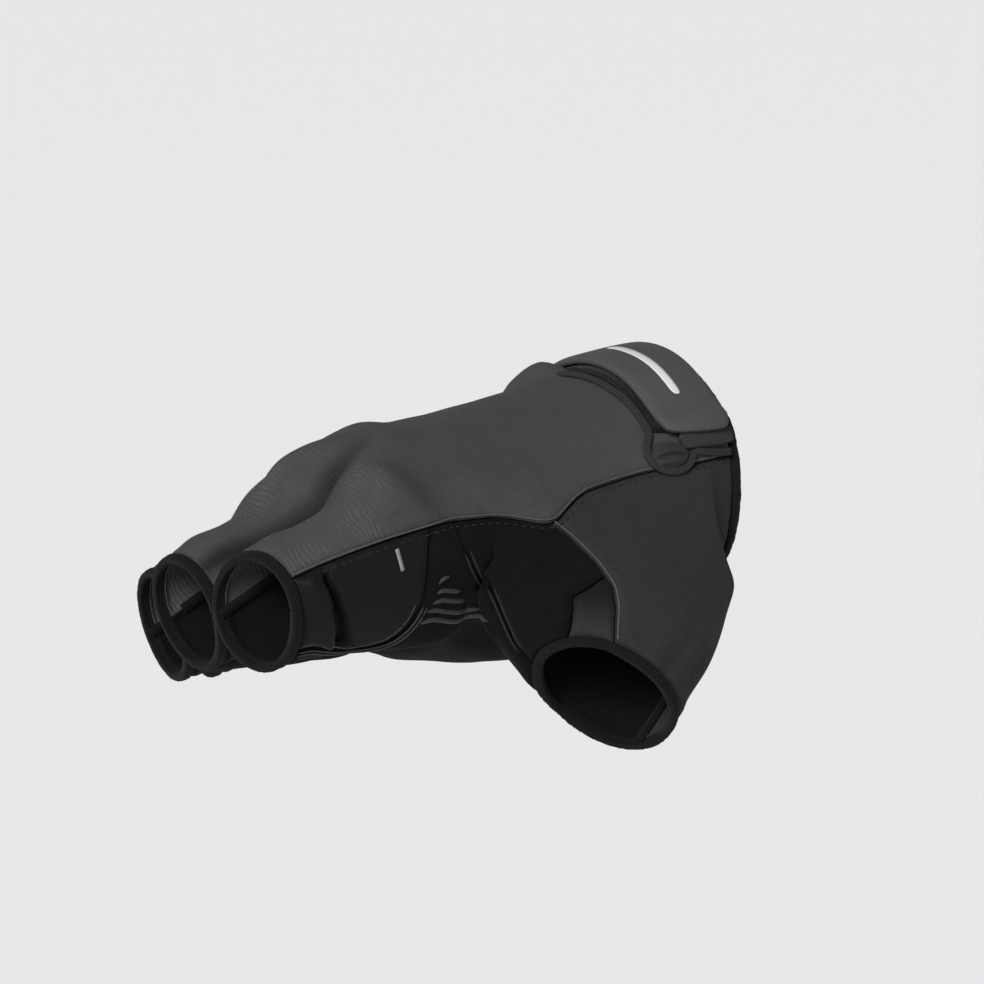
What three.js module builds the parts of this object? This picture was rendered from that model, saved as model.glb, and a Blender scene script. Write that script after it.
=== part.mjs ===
// A right-hand fingerless cycling glove in the form it takes on a hand that grips a bar.
// The back lies up (+Z), the fingers point to -X, the thumb to -Y and the arm leaves along +X.
// The origin is the middle of the wrist opening. All lengths are millimetres, all angles degrees.
import * as THREE from "three";

// Cloth and leather
const KNIT_WALL = 1.1;
const LEATHER_WALL = 1.3;
const WEB_WALL = 0.9;
const HEM_WIDTH = 2.4;
const HEM_PROUD = 0.3;
const HEM_WALL = 1.9;
const BINDING_WIDTH = 2.2;
const SEAM_GAP = 0.3;

// Wrist strap, its pile, the piping round its slit and the small tag
const STRAP = { wristEdge: -4.0, fingerEdge: -19.5, endHeight: 9.3, farHeight: 3.0, under: 1.9, top: 4.0 };
const PILE = { wristEdge: -5.0, fingerEdge: -20.2, endHeight: 10.2, farHeight: -1.0, under: 0.4, top: 1.5 };
const TAB = { wristEdge: -3.2, fingerEdge: -15.8, low: 7.1, high: 8.9, under: 0.4, top: 1.9 };
const GATHER = { x: -19.4, y: -31.0, z: 6.0, length: 7.2, height: 4.4, depth: 2.0, lift: 0.5 };
const PIPING_RADIUS = 0.7;
const PIPING_LIFT = 1.15;
const TAG = { x: -89.0, z: -6.2, width: 1.2, length: 4.8, lean: 18, under: 0.35, top: 0.8 };

// Each row of a table becomes a record with the named columns.
function table(columns, rows) {
  const names = columns.split(" ");
  return rows.map((row) => Object.fromEntries(names.map((name, i) => [name, row[i]])));
}

// Sections of the hand from the wrist to the knuckles: where the back and the palm lie along X, how far the
// little-finger side falls back, the widths, and the heights of the sides, the back and the palm.
const HAND_ROWS = table(
  "xBack xPalm sweep yThumb yLittle sideThumb sideLittle backThumb backMid backLittle palmThumb palmMid palmLittle round",
  [
    [0, 0, 0, -30.5, 29, -4, 0, 18.5, 20.5, 16.5, -26, -24, -21, 2.6],
    [-10, -10, 0, -34, 30, -6, -2, 18.2, 20.4, 16.5, -33, -29, -25, 2.5],
    [-24, -23, 0, -34.5, 33, -6, -5, 16.3, 17.9, 14.5, -37, -37, -34, 2.3],
    [-37, -34, 1, -35, 37, -6, -9, 14.9, 16.1, 11.5, -39, -42, -43, 2.3],
    [-50, -45, 2, -36, 40, -6, -13, 14, 14.2, 8, -36, -43.8, -49.3, 2.3],
    [-62, -54, 4, -37, 43, -5, -17, 13.8, 12.9, 5.5, -30, -42, -50, 2.4],
    [-73, -61, 6, -38, 45, -5, -20, 13.6, 12.4, 3.5, -26, -40.3, -49.8, 2.4],
    [-83, -67, 8, -38.5, 45, -5, -22, 13.6, 12.4, 0.5, -26, -38.6, -48.2, 2.4],
  ],
);
const RING_COLUMNS = 20;
const SIDE_COLUMN = 10;
const MID_SHARE = 0.6;
const COSINE_SHARE = 0.65;

// Finger stalls: the knuckle, how the finger spreads, bends and rolls, the length to the hem, and how the hem
// slants from back to palm and yaws from side to side.
const FINGERS = table("name x y z spread flex roll length scale slant yaw", [
  ["index", -85, -27, 0.3, -1, 27, 0, 36, 0.98, 0.11, 0.11],
  ["middle", -91, -5, -2, 0, 31, 3, 36, 1.0, 0.1, 0.05],
  ["ring", -88, 16.5, -14, 1, 26, 10, 33, 0.96, 0.1, 0],
  ["little", -77, 36, -22, 6, 29, 22, 29, 0.88, 0.08, 0],
]);
// Stall sections from the knuckle (0) to the hem (1). The first three are shared with the hand, and there the
// back dips between the fingers.
const STALL_SECTIONS = table("share halfWidth up down dip", [
  [-0.02, 11.7, 14.9, 31.5, 3],
  [0.26, 11.5, 11.2, 28, 4.5],
  [0.54, 11.1, 10.7, 21, 3],
  [0.7, 10.9, 11.3, 17.5, 0],
  [0.85, 10.8, 11.4, 14.5, 0],
  [1, 10.7, 11.6, 12.5, 0],
]);
const SHARED_SECTIONS = 3;
const STALL_ANGLES = [180, 135, 90, 45, 0, -45, -90, -135];

// Thumb stall: it leaves the hand between two rows, and each section runs through four points, one at the web,
// one at the wrist side, one on its back and one on its palm side.
const THUMB_ROWS = { first: 1, last: 6 };
const THUMB_COLUMNS = [1, 0, 19, 18, 17];
const THUMB_SECTIONS = table("web wrist back palm", [
  [[-69, -36.5, -13], [-6.2, -36.5, -22.5], [-37, -42, -9], [-37, -24, -41]],
  [[-65.5, -36, -17.5], [-9.8, -39, -29.5], [-38, -46, -15.5], [-38, -26, -44]],
  [[-62, -36, -22.5], [-15.7, -43, -36], [-39, -49, -21.5], [-39, -28.5, -47]],
  [[-58, -36.5, -27.5], [-22.8, -46, -42.5], [-40.5, -51, -26.5], [-40, -31, -50]],
  [[-53.5, -37, -33], [-29.6, -48, -49.7], [-42, -53.5, -31], [-41, -33.5, -52]],
]);
const THUMB_STEP = 20;
const THUMB_START = 50;

// Seams. The back is everything above this height, which follows the thumb side, the three finger gaps and
// the little-finger side. Each column stands at its own y.
const BACK_SEAM_Y = [-38, -16, 5.5, 27, 45];
const BACK_SEAM = [
  { x: -122, z: [-9.5, -20, -25, -37.5, -47] },
  { x: -106, z: [-5.1, -11.8, -16.7, -29.5, -38.2] },
  { x: -92, z: [-2.0, -4.6, -9.2, -22.3, -30.3] },
  { x: -78, z: [0.1, 0, -4, -16, -22.4] },
  { x: -64, z: [-0.7, 0, -3, -11, -17.6] },
  { x: -52.5, z: [-3.4, 0, -3, -8, -14] },
  { x: -42, z: [1.7, 1, -2, -6, -10.6] },
  { x: -26, z: [4.4, 1, -1, -3, -5.5] },
  { x: 2, z: [5.6, 2, 0, 0, 0] },
];
// The thumb panel lies on the wrist side of the first line, which gives x at a height, and on the thumb side of
// the second, which gives y at an x and swings over towards the back above the turn.
const THUMB_SEAM = [[-36, -47], [-26.5, -44.7], [-20, -42.9], [-16.1, -42.6], [-11, -45.3], [-5.2, -49.9], [-3, -52.5]];
const THENAR_SEAM = [[-45, -41], [-31.5, -40], [-20, -36], [-9, -31], [3, -25]];
const THENAR_TURN = { z: -14, slope: 0.8 };
// The web patch starts at this line beside the index finger and ends just past the crest of the web.
const WEB_SEAM = [[-24.4, -61.9], [-16.7, -66], [-10.8, -70.9], [-5.6, -73.6], [1, -76]];
const WEB_CREST_Y = [[-33, -34], [-12, -33], [0, -32]];
const WEB_LIMIT_X = -42.4;
// The lighter inner patch of the thumb hem
const INNER_SEAM = [[-37, -50.2], [-31, -51.6], [-25.9, -52.7], [-17.5, -51.7]];
const INNER_TOP = { x: -43.5, z: -13.8, slope: 0.45 };
const INNER_LIMIT_Y = -41;
// The smooth panel on the side of the index finger ends below in an arc, given as a height along a slope.
const INDEX_ARC = [[-118, 2.5], [-106.6, 1.5], [-98.4, -2.3], [-93, -1.8], [-89, -0.7], [-86.5, 1.5], [-84.3, 4.2], [-82.1, 9]];
const INDEX_SLOPE = { y: -0.6, z: 0.8 };
const INDEX_EDGE_X = -81.8;
const INDEX_MIDDLE_Y = -27;

// Piping: along the finger edge of the strap, round the end of the slit and out along the tab to the cuff.
const PIPING_ROUTE = [
  [-20.5, 33.5, 4], [-21.5, 29.5, 10.5], [-22.4, 21, 15.5], [-23, 12, 18], [-23, 1, 19], [-22.2, -12, 17.8], [-21.2, -20, 14.3], [-21.6, -26.5, 10.6], [-24, -29.4, 7.6],
  [-23.8, -31.2, 5], [-21.2, -32.5, 3.2], [-17.6, -32.6, 2.8], [-14.6, -32, 4.2], [-13.2, -31, 6], [-10, -31, 5.7],
  [-6, -31, 5.3], [-3.6, -30, 5],
];

const rad = THREE.MathUtils.degToRad;
const lerp = THREE.MathUtils.lerp;

// Value of a line of [place, value] pairs at a place, straight between its points
function along(line, place) {
  let i = 0;
  while (i < line.length - 2 && place > line[i + 1][0]) i += 1;
  const share = (place - line[i][0]) / (line[i + 1][0] - line[i][0]);
  return lerp(line[i][1], line[i + 1][1], share);
}

// Height across the hand through three given heights, level beyond the outer two
function across(thumb, middle, little, share) {
  const k = THREE.MathUtils.clamp(share / MID_SHARE, -1.15, 1.15);
  return middle + ((little - thumb) / 2) * k + ((thumb + little) / 2 - middle) * k * k;
}

function handPoint(row, column) {
  const angle = rad(180 - (360 / RING_COLUMNS) * column);
  const flat = (column <= SIDE_COLUMN ? column : RING_COLUMNS - column) / (SIDE_COLUMN / 2) - 1;
  const side = COSINE_SHARE * Math.cos(angle) + (1 - COSINE_SHARE) * flat;
  const rise = Math.max(0, 1 - Math.abs(side) ** row.round) ** (1 / row.round);
  const isBack = Math.sin(angle) > 0;
  const edge = lerp(row.sideThumb, row.sideLittle, (side + 1) / 2);
  const far = isBack
    ? across(row.backThumb, row.backMid, row.backLittle, side)
    : across(row.palmThumb, row.palmMid, row.palmLittle, side);
  const x = lerp(row.xPalm, row.xBack, (1 + (isBack ? rise : -rise)) / 2) + (row.sweep * (side + 1)) / 2;
  return new THREE.Vector3(x, lerp(row.yThumb, row.yLittle, (side + 1) / 2), edge + (far - edge) * rise);
}

function stallFrame(finger) {
  const turn = new THREE.Matrix4().makeRotationX(-rad(finger.roll));
  turn.multiply(new THREE.Matrix4().makeRotationZ(-rad(finger.spread)));
  const side = new THREE.Vector3(0, 1, 0).applyMatrix4(turn);
  turn.multiply(new THREE.Matrix4().makeRotationY(-rad(finger.flex)));
  const way = new THREE.Vector3(-1, 0, 0).applyMatrix4(turn);
  return { knuckle: new THREE.Vector3(finger.x, finger.y, finger.z), side, way, up: side.clone().cross(way) };
}

function stallPoint(finger, section, degrees) {
  const { knuckle, side, way, up } = stallFrame(finger);
  const c = Math.cos(rad(degrees));
  const s = Math.sin(rad(degrees));
  const lean = Math.max(0, section.share) ** 2 * (finger.yaw * c - finger.slant * s);
  const height = s > 0 ? section.up : section.down;
  return knuckle.clone()
    .addScaledVector(way, (section.share + lean) * finger.length)
    .addScaledVector(side, section.halfWidth * finger.scale * c)
    .addScaledVector(up, height * finger.scale * s);
}

const mean = (a, b) => a.clone().add(b).multiplyScalar(0.5);

// The first stall sections, joined into one ring round all four fingers
function sharedPoint(section, column) {
  if (column === 0) return stallPoint(FINGERS[0], section, 180);
  if (column === SIDE_COLUMN) return stallPoint(FINGERS[3], section, 0);
  const isBack = column < SIDE_COLUMN;
  const place = (isBack ? column : RING_COLUMNS - column) - 1;
  const sign = isBack ? 1 : -1;
  const strip = Math.floor(place / 2);
  if (place % 2 === 1) return stallPoint(FINGERS[strip], section, 90 * sign);
  if (strip === 0) return stallPoint(FINGERS[0], section, 135 * sign);
  if (strip === 4) return stallPoint(FINGERS[3], section, 45 * sign);
  const between = mean(stallPoint(FINGERS[strip], section, 135 * sign), stallPoint(FINGERS[strip - 1], section, 45 * sign));
  return isBack ? between.addScaledVector(stallFrame(FINGERS[strip]).up, -section.dip) : between;
}

function thumbPoint(section, step) {
  const [web, wrist, back, palm] = [section.web, section.wrist, section.back, section.palm].map((p) => new THREE.Vector3(...p));
  const middle = mean(web, wrist);
  const angle = rad(THUMB_START + THUMB_STEP * step);
  const c = Math.cos(angle);
  const s = Math.sin(angle);
  return middle.clone()
    .addScaledVector((c > 0 ? back : palm).sub(middle), Math.abs(c))
    .addScaledVector((s > 0 ? wrist : web).sub(middle), Math.abs(s));
}

// The cage of four-sided faces that the glove's outer surface is smoothed from
function makeCage() {
  const points = [];
  const faces = [];
  const add = (point) => points.push(point) - 1;
  const columns = Array.from({ length: RING_COLUMNS }, (_, i) => i);
  const rows = HAND_ROWS.map((row) => columns.map((c) => add(handPoint(row, c))));
  for (const section of STALL_SECTIONS.slice(0, SHARED_SECTIONS)) rows.push(columns.map((c) => add(sharedPoint(section, c))));

  for (let r = 0; r < rows.length - 1; r += 1) {
    for (const c of columns) {
      const inThumb = r >= THUMB_ROWS.first && r < THUMB_ROWS.last && (c >= 17 || c === 0);
      const next = (c + 1) % RING_COLUMNS;
      if (!inThumb) faces.push([rows[r][c], rows[r][next], rows[r + 1][next], rows[r + 1][c]]);
    }
  }
  const join = (rings, flip) => {
    for (let i = 0; i < rings.length - 1; i += 1) {
      const [a, b] = [rings[i], rings[i + 1]];
      a.forEach((_, k) => {
        const n = (k + 1) % a.length;
        faces.push(flip ? [a[k], b[k], b[n], a[n]] : [a[k], a[n], b[n], b[k]]);
      });
    }
  };

  const last = rows[rows.length - 1];
  const webSection = STALL_SECTIONS[SHARED_SECTIONS - 1];
  const gaps = [0, 1, 2].map((i) => add(mean(stallPoint(FINGERS[i], webSection, 0), stallPoint(FINGERS[i + 1], webSection, 180))));
  const sides = [last[0], ...gaps, last[SIDE_COLUMN]];
  const rims = {};
  FINGERS.forEach((finger, i) => {
    const back = [1, 2, 3].map((k) => last[2 * i + k]);
    const palm = [17, 18, 19].map((k) => last[k - 2 * i]);
    const rings = [[sides[i], ...back, sides[i + 1], ...palm]];
    for (const section of STALL_SECTIONS.slice(SHARED_SECTIONS)) {
      rings.push(STALL_ANGLES.map((angle) => add(stallPoint(finger, section, angle))));
    }
    join(rings, false);
    rims[finger.name] = rings[rings.length - 1];
  });

  const { first, last: end } = THUMB_ROWS;
  const between = rows.slice(first + 1, end);
  const mouth = [
    ...THUMB_COLUMNS.map((c) => rows[first][c]),
    ...between.map((row) => row[THUMB_COLUMNS[4]]),
    ...[...THUMB_COLUMNS].reverse().map((c) => rows[end][c]),
    ...[...between].reverse().map((row) => row[THUMB_COLUMNS[0]]),
  ];
  const thumbRings = [mouth];
  for (const section of THUMB_SECTIONS) thumbRings.push(mouth.map((_, step) => add(thumbPoint(section, step))));
  join(thumbRings, true);
  rims.thumb = thumbRings[thumbRings.length - 1];
  rims.wrist = rows[0];
  return { points, faces, rims };
}

// Edges of a mesh of faces, with the faces that meet at each
function edgesOf(faces) {
  const edges = new Map();
  faces.forEach((face, f) => {
    face.forEach((a, i) => {
      const b = face[(i + 1) % face.length];
      const key = a < b ? `${a},${b}` : `${b},${a}`;
      if (!edges.has(key)) edges.set(key, { a, b, faces: [] });
      edges.get(key).faces.push(f);
    });
  });
  return edges;
}

// Where each corner of a cage comes to rest when the cage is smoothed without end
function restingPoints({ points, faces }) {
  const sums = points.map((p) => ({ edge: new THREE.Vector3(), far: new THREE.Vector3(), rim: new THREE.Vector3(), n: 0, open: false, p }));
  for (const face of faces) {
    face.forEach((a, i) => {
      sums[a].far.add(points[face[(i + 2) % 4]]);
      sums[a].n += 1;
    });
  }
  for (const { a, b, faces: near } of edgesOf(faces).values()) {
    sums[a].edge.add(points[b]);
    sums[b].edge.add(points[a]);
    if (near.length > 1) continue;
    sums[a].rim.add(points[b]);
    sums[b].rim.add(points[a]);
    sums[a].open = true;
    sums[b].open = true;
  }
  return sums.map(({ edge, far, rim, n, open, p }) => {
    if (open) return p.clone().multiplyScalar(4).add(rim).divideScalar(6);
    return p.clone().multiplyScalar(n * n).addScaledVector(edge, 4).add(far).divideScalar(n * (n + 5));
  });
}

// Moves the cage out until its smooth surface passes through the points of the tables.
function fitCage(cage, rounds = 3, step = 0.9) {
  const wanted = cage.points.map((p) => p.clone());
  for (let i = 0; i < rounds; i += 1) {
    const rest = restingPoints(cage);
    cage.points.forEach((p, k) => p.addScaledVector(wanted[k].clone().sub(rest[k]), step));
  }
  return cage;
}

// One step of Catmull-Clark smoothing, with open rims kept as smooth curves
function smooth({ points, faces, rims }) {
  const centres = faces.map((face) => face.reduce((sum, i) => sum.add(points[i]), new THREE.Vector3()).divideScalar(4));
  const edges = edgesOf(faces);
  const moved = points.map((p) => ({ face: new THREE.Vector3(), mid: new THREE.Vector3(), rim: new THREE.Vector3(), n: 0, open: false, p }));
  faces.forEach((face, f) => face.forEach((i) => {
    moved[i].face.add(centres[f]);
    moved[i].n += 1;
  }));
  const out = [...points, ...centres];
  for (const edge of edges.values()) {
    const middle = mean(points[edge.a], points[edge.b]);
    const open = edge.faces.length === 1;
    edge.point = out.length;
    out.push(open ? middle : mean(middle, mean(centres[edge.faces[0]], centres[edge.faces[1]])));
    for (const i of [edge.a, edge.b]) {
      moved[i].mid.add(middle);
      if (!open) continue;
      moved[i].rim.add(middle);
      moved[i].open = true;
    }
  }
  moved.forEach(({ face, mid, rim, n, open, p }, i) => {
    out[i] = open
      ? p.clone().multiplyScalar(2).add(rim).divideScalar(4)
      : face.divideScalar(n).addScaledVector(mid, 2 / n).addScaledVector(p, n - 3).divideScalar(n);
  });
  const key = (a, b) => (a < b ? `${a},${b}` : `${b},${a}`);
  const split = [];
  faces.forEach((face, f) => face.forEach((a, i) => {
    const after = edges.get(key(a, face[(i + 1) % 4])).point;
    const before = edges.get(key(a, face[(i + 3) % 4])).point;
    split.push([a, after, points.length + f, before]);
  }));
  const longer = (rim) => rim.flatMap((a, i) => [a, edges.get(key(a, rim[(i + 1) % rim.length])).point]);
  const newRims = Object.fromEntries(Object.entries(rims).map(([name, rim]) => [name, longer(rim)]));
  return { points: out, faces: split, rims: newRims };
}

// The glove's outer surface: points, outward normals and triangles
function makeSurface(steps) {
  let cage = fitCage(makeCage());
  for (let i = 0; i < steps; i += 1) cage = smooth(cage);
  const points = restingPoints(cage);
  const triangles = cage.faces.flatMap(([a, b, c, d]) => [[a, b, c], [a, c, d]]);
  const normals = points.map(() => new THREE.Vector3());
  for (const [a, b, c] of triangles) {
    const normal = points[b].clone().sub(points[a]).cross(points[c].clone().sub(points[a]));
    for (const i of [a, b, c]) normals[i].add(normal);
  }
  normals.forEach((normal) => normal.normalize());
  return { points, normals, triangles, rims: cage.rims };
}

// The part of a surface where the field is over a margin, cut along a clean line
function clip(surface, field, margin = SEAM_GAP / 2) {
  const snap = 0.06;
  const values = surface.points.map((p, i) => {
    const value = field(p, surface.normals[i]) - margin;
    return Math.abs(value) < snap ? 0 : value;
  });
  const points = [];
  const normals = [];
  const made = new Map();
  const put = (key, point, normal) => {
    if (!made.has(key)) {
      made.set(key, points.length);
      points.push(point());
      normals.push(normal());
    }
    return made.get(key);
  };
  const keep = (i) => put(`${i}`, () => surface.points[i], () => surface.normals[i]);
  const cross = (i, j) => {
    const [a, b] = i < j ? [i, j] : [j, i];
    const t = values[a] / (values[a] - values[b]);
    return put(`${a},${b}`, () => surface.points[a].clone().lerp(surface.points[b], t),
      () => surface.normals[a].clone().lerp(surface.normals[b], t).normalize());
  };
  const triangles = [];
  for (const triangle of surface.triangles) {
    if (triangle.every((i) => values[i] <= 0)) continue;
    const corners = [];
    triangle.forEach((i, k) => {
      const j = triangle[(k + 1) % 3];
      if (values[i] >= 0) corners.push(keep(i));
      if (values[i] * values[j] < 0) corners.push(cross(i, j));
    });
    for (let k = 2; k < corners.length; k += 1) triangles.push([corners[0], corners[k - 1], corners[k]]);
  }
  return { points, normals, triangles };
}

const not = (field) => (p, normal) => -field(p, normal);
const all = (...fields) => (p) => Math.min(...fields.map((field) => field(p)));
// A small piece, cut out by one straight cut after another
const cutOut = (surface, ...fields) => fields.reduce((rest, field) => clip(rest, field, 0), surface);

// The largest connected part of a surface
function largest(surface) {
  const parent = surface.points.map((_, i) => i);
  const find = (i) => {
    while (parent[i] !== i) i = parent[i] = parent[parent[i]];
    return i;
  };
  for (const [a, b, c] of surface.triangles) {
    parent[find(a)] = find(b);
    parent[find(b)] = find(c);
  }
  const count = new Map();
  for (const [a] of surface.triangles) count.set(find(a), (count.get(find(a)) ?? 0) + 1);
  const best = [...count.entries()].sort((a, b) => b[1] - a[1])[0][0];
  return { ...surface, triangles: surface.triangles.filter(([a]) => find(a) === best) };
}

// A closed solid between two offsets of a surface
function thicken(surface, outer, inner) {
  const { points, normals, triangles } = largest(surface);
  const used = [...new Set(triangles.flat())];
  const place = new Map(used.map((i, k) => [i, k]));
  const positions = [];
  for (const offset of [outer, inner]) {
    for (const i of used) positions.push(...points[i].clone().addScaledVector(normals[i], offset).toArray());
  }
  const under = used.length;
  const index = [];
  const directed = new Set();
  for (const triangle of triangles) {
    const [a, b, c] = triangle.map((i) => place.get(i));
    index.push(a, b, c, a + under, c + under, b + under);
    for (const [i, j] of [[a, b], [b, c], [c, a]]) directed.add(`${i},${j}`);
  }
  for (const pair of directed) {
    const [i, j] = pair.split(",").map(Number);
    if (!directed.has(`${j},${i}`)) index.push(j, i, i + under, j, i + under, j + under);
  }
  const geometry = new THREE.BufferGeometry();
  geometry.setAttribute("position", new THREE.Float32BufferAttribute(positions, 3));
  geometry.setIndex(index);
  return geometry;
}

const fabric = {
  knit: new THREE.MeshStandardMaterial({ color: "#4a4b4c", roughness: 0.95, metalness: 0 }),
  stretch: new THREE.MeshStandardMaterial({ color: "#2b2c2d", roughness: 0.95, metalness: 0 }),
  microfibre: new THREE.MeshStandardMaterial({ color: "#17181a", roughness: 0.8, metalness: 0 }),
  lightKnit: new THREE.MeshStandardMaterial({ color: "#48494b", roughness: 0.95, metalness: 0 }),
  leather: new THREE.MeshStandardMaterial({ color: "#1a1b1d", roughness: 0.6, metalness: 0 }),
  tape: new THREE.MeshStandardMaterial({ color: "#101112", roughness: 0.95, metalness: 0 }),
  foam: new THREE.MeshStandardMaterial({ color: "#3c3d3e", roughness: 0.75, metalness: 0 }),
  pile: new THREE.MeshStandardMaterial({ color: "#161718", roughness: 1, metalness: 0 }),
  cord: new THREE.MeshStandardMaterial({ color: "#37383a", roughness: 0.9, metalness: 0 }),
  silver: new THREE.MeshStandardMaterial({ color: "#b4b6b8", roughness: 0.4, metalness: 0 }),
};

const glove = new THREE.Group();
function addPiece(name, geometry, material) {
  const mesh = new THREE.Mesh(geometry, material.clone());
  mesh.name = name;
  glove.add(mesh);
  return mesh;
}

const surface = makeSurface(1);
const fineSurface = makeSurface(2);
// How far a place is past a hem's width from a rim, counting only the stretches of rim that face the same way,
// because the stalls lie side by side
const rimDistance = (name, width) => {
  const rim = surface.rims[name];
  const nearest = new THREE.Vector3();
  const edges = rim.map((a, i) => {
    const b = rim[(i + 1) % rim.length];
    return { line: new THREE.Line3(surface.points[a], surface.points[b]), normal: surface.normals[a] };
  });
  return (p, normal) => {
    const facing = edges.filter((edge) => edge.normal.dot(normal) > 0);
    return Math.min(...facing.map(({ line }) => line.closestPointToPoint(p, true, nearest).distanceTo(p))) - width;
  };
};

// Seam fields: each is positive inside its panel and close to the distance from the seam.
const backSeam = (p) => {
  const lines = BACK_SEAM_Y.map((_, k) => BACK_SEAM.map((row) => [row.x, row.z[k]]));
  const heights = lines.map((line, k) => [BACK_SEAM_Y[k], along(line, p.x)]);
  const y = THREE.MathUtils.clamp(p.y, BACK_SEAM_Y[0], BACK_SEAM_Y[4]);
  return p.z - along(heights, y);
};
const thumbSide = (p) => p.x - along(THUMB_SEAM, p.z);
const thenarSide = (p) => along(THENAR_SEAM, p.x) + Math.max(0, p.z - THENAR_TURN.z) * THENAR_TURN.slope - p.y;
const innerSide = all(
  (p) => p.x - along(INNER_SEAM, p.z),
  (p) => INNER_TOP.z + (p.x - INNER_TOP.x) * INNER_TOP.slope - p.z,
  (p) => INNER_LIMIT_Y - p.y,
);
const webSide = all(
  (p) => p.x - along(WEB_SEAM, p.z),
  (p) => along(WEB_CREST_Y, p.z) - p.y,
  (p) => WEB_LIMIT_X - p.x,
);
const upIndexSide = (p) => INDEX_SLOPE.y * p.y + INDEX_SLOPE.z * p.z;
const indexSide = all(
  (p) => upIndexSide(p) - along(INDEX_ARC, p.x),
  (p) => INDEX_EDGE_X - p.x,
  (p) => INDEX_MIDDLE_Y - p.y,
);

// Panels, cut one after another from the cloth that lies between the hems and the cuff binding
let cloth = surface;
const hemNames = ["index", "middle", "ring", "little", "thumb"];
for (const name of hemNames) cloth = clip(cloth, rimDistance(name, HEM_WIDTH));
cloth = clip(cloth, rimDistance("wrist", BINDING_WIDTH));
function cutPanel(name, field, wall, material) {
  addPiece(name, thicken(clip(cloth, field), 0, -wall), material);
  cloth = clip(cloth, not(field));
}
cutPanel("back_panel", backSeam, KNIT_WALL, fabric.knit);
cutPanel("thumb_panel", all(thumbSide, thenarSide), KNIT_WALL, fabric.stretch);
cutPanel("thumb_inner_patch", innerSide, KNIT_WALL, fabric.lightKnit);
cutPanel("web_patch", webSide, WEB_WALL, fabric.microfibre);
cutPanel("index_side_panel", indexSide, LEATHER_WALL, fabric.leather);
addPiece("palm_panel", thicken(cloth, 0, -LEATHER_WALL), fabric.microfibre);

// Hems and the cuff binding, folded round the raw edges and so a little proud of the panels
for (const name of hemNames) {
  const band = clip(surface, not(rimDistance(name, HEM_WIDTH)));
  addPiece(`${name}_hem`, thicken(band, HEM_PROUD, HEM_PROUD - HEM_WALL), fabric.tape);
}
const binding = clip(surface, not(rimDistance("wrist", BINDING_WIDTH)));
addPiece("cuff_binding", thicken(binding, HEM_PROUD, HEM_PROUD - HEM_WALL), fabric.cord);

// The pile, the strap over it and the tab at its thumb end all follow the wrist.
const onThumbSide = (p) => -p.y;
const strip = (size) => [(p) => size.wristEdge - p.x, (p) => p.x - size.fingerEdge];
const endAt = (size) => (p) => p.z - (onThumbSide(p) > 0 ? size.endHeight : size.farHeight);
function addBand(name, size, material, ...limits) {
  addPiece(name, thicken(cutOut(surface, ...strip(size), ...limits), size.top, size.under), material);
}
addBand("strap_pile", PILE, fabric.pile, endAt(PILE));
addBand("closure_strap", STRAP, fabric.foam, endAt(STRAP));
addBand("strap_tab", TAB, fabric.stretch, (p) => TAB.high - p.z, (p) => p.z - TAB.low, onThumbSide);

// Nearest place on the surface to a point, lifted off along the normal
function onSurface(point, lift) {
  let best = 0;
  fineSurface.points.forEach((p, i) => {
    if (p.distanceToSquared(point) < fineSurface.points[best].distanceToSquared(point)) best = i;
  });
  const normal = fineSurface.normals[best];
  const off = fineSurface.points[best].clone().sub(point).dot(normal);
  return { place: point.clone().addScaledVector(normal, off + lift), normal };
}

// The puckered end of the strap, gathered into the round end of the slit
const gatherShape = new THREE.SphereGeometry(0.5, 14, 8);
gatherShape.deleteAttribute("uv");
const gather = addPiece("strap_gather", gatherShape, fabric.stretch);
const seat = onSurface(new THREE.Vector3(GATHER.x, GATHER.y, GATHER.z), GATHER.lift + GATHER.depth / 2);
gather.position.copy(seat.place);
gather.quaternion.setFromUnitVectors(new THREE.Vector3(0, 0, 1), seat.normal);
gather.scale.set(GATHER.length, GATHER.height, GATHER.depth);

// Piping cord
const route = PIPING_ROUTE.map((p) => onSurface(new THREE.Vector3(...p), PIPING_LIFT).place);
const cordSection = new THREE.Shape().absarc(0, 0, PIPING_RADIUS, 0, 2 * Math.PI, false);
const cordPath = new THREE.CatmullRomCurve3(route, false, "centripetal");
const cordShape = new THREE.ExtrudeGeometry(cordSection, { extrudePath: cordPath, steps: 54, curveSegments: 2, bevelEnabled: false });
addPiece("slit_piping", cordShape, fabric.cord);

// The small woven tag on the side of the index stall
const tagAside = (p) => p.x - TAG.x + (p.z - TAG.z) * Math.tan(rad(TAG.lean));
const tagUp = (p) => p.z - TAG.z;
const tag = cutOut(
  fineSurface,
  (p) => INDEX_MIDDLE_Y - p.y,
  (p) => TAG.width / 2 - tagAside(p),
  (p) => TAG.width / 2 + tagAside(p),
  (p) => TAG.length / 2 - tagUp(p),
  (p) => TAG.length / 2 + tagUp(p),
);
addPiece("side_tag", thicken(tag, TAG.top, TAG.under), fabric.silver);

export default glove;
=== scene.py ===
import math
import bpy
import numpy as np
from mathutils import Matrix, Vector, kdtree, noise
from mathutils.bvhtree import BVHTree


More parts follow.
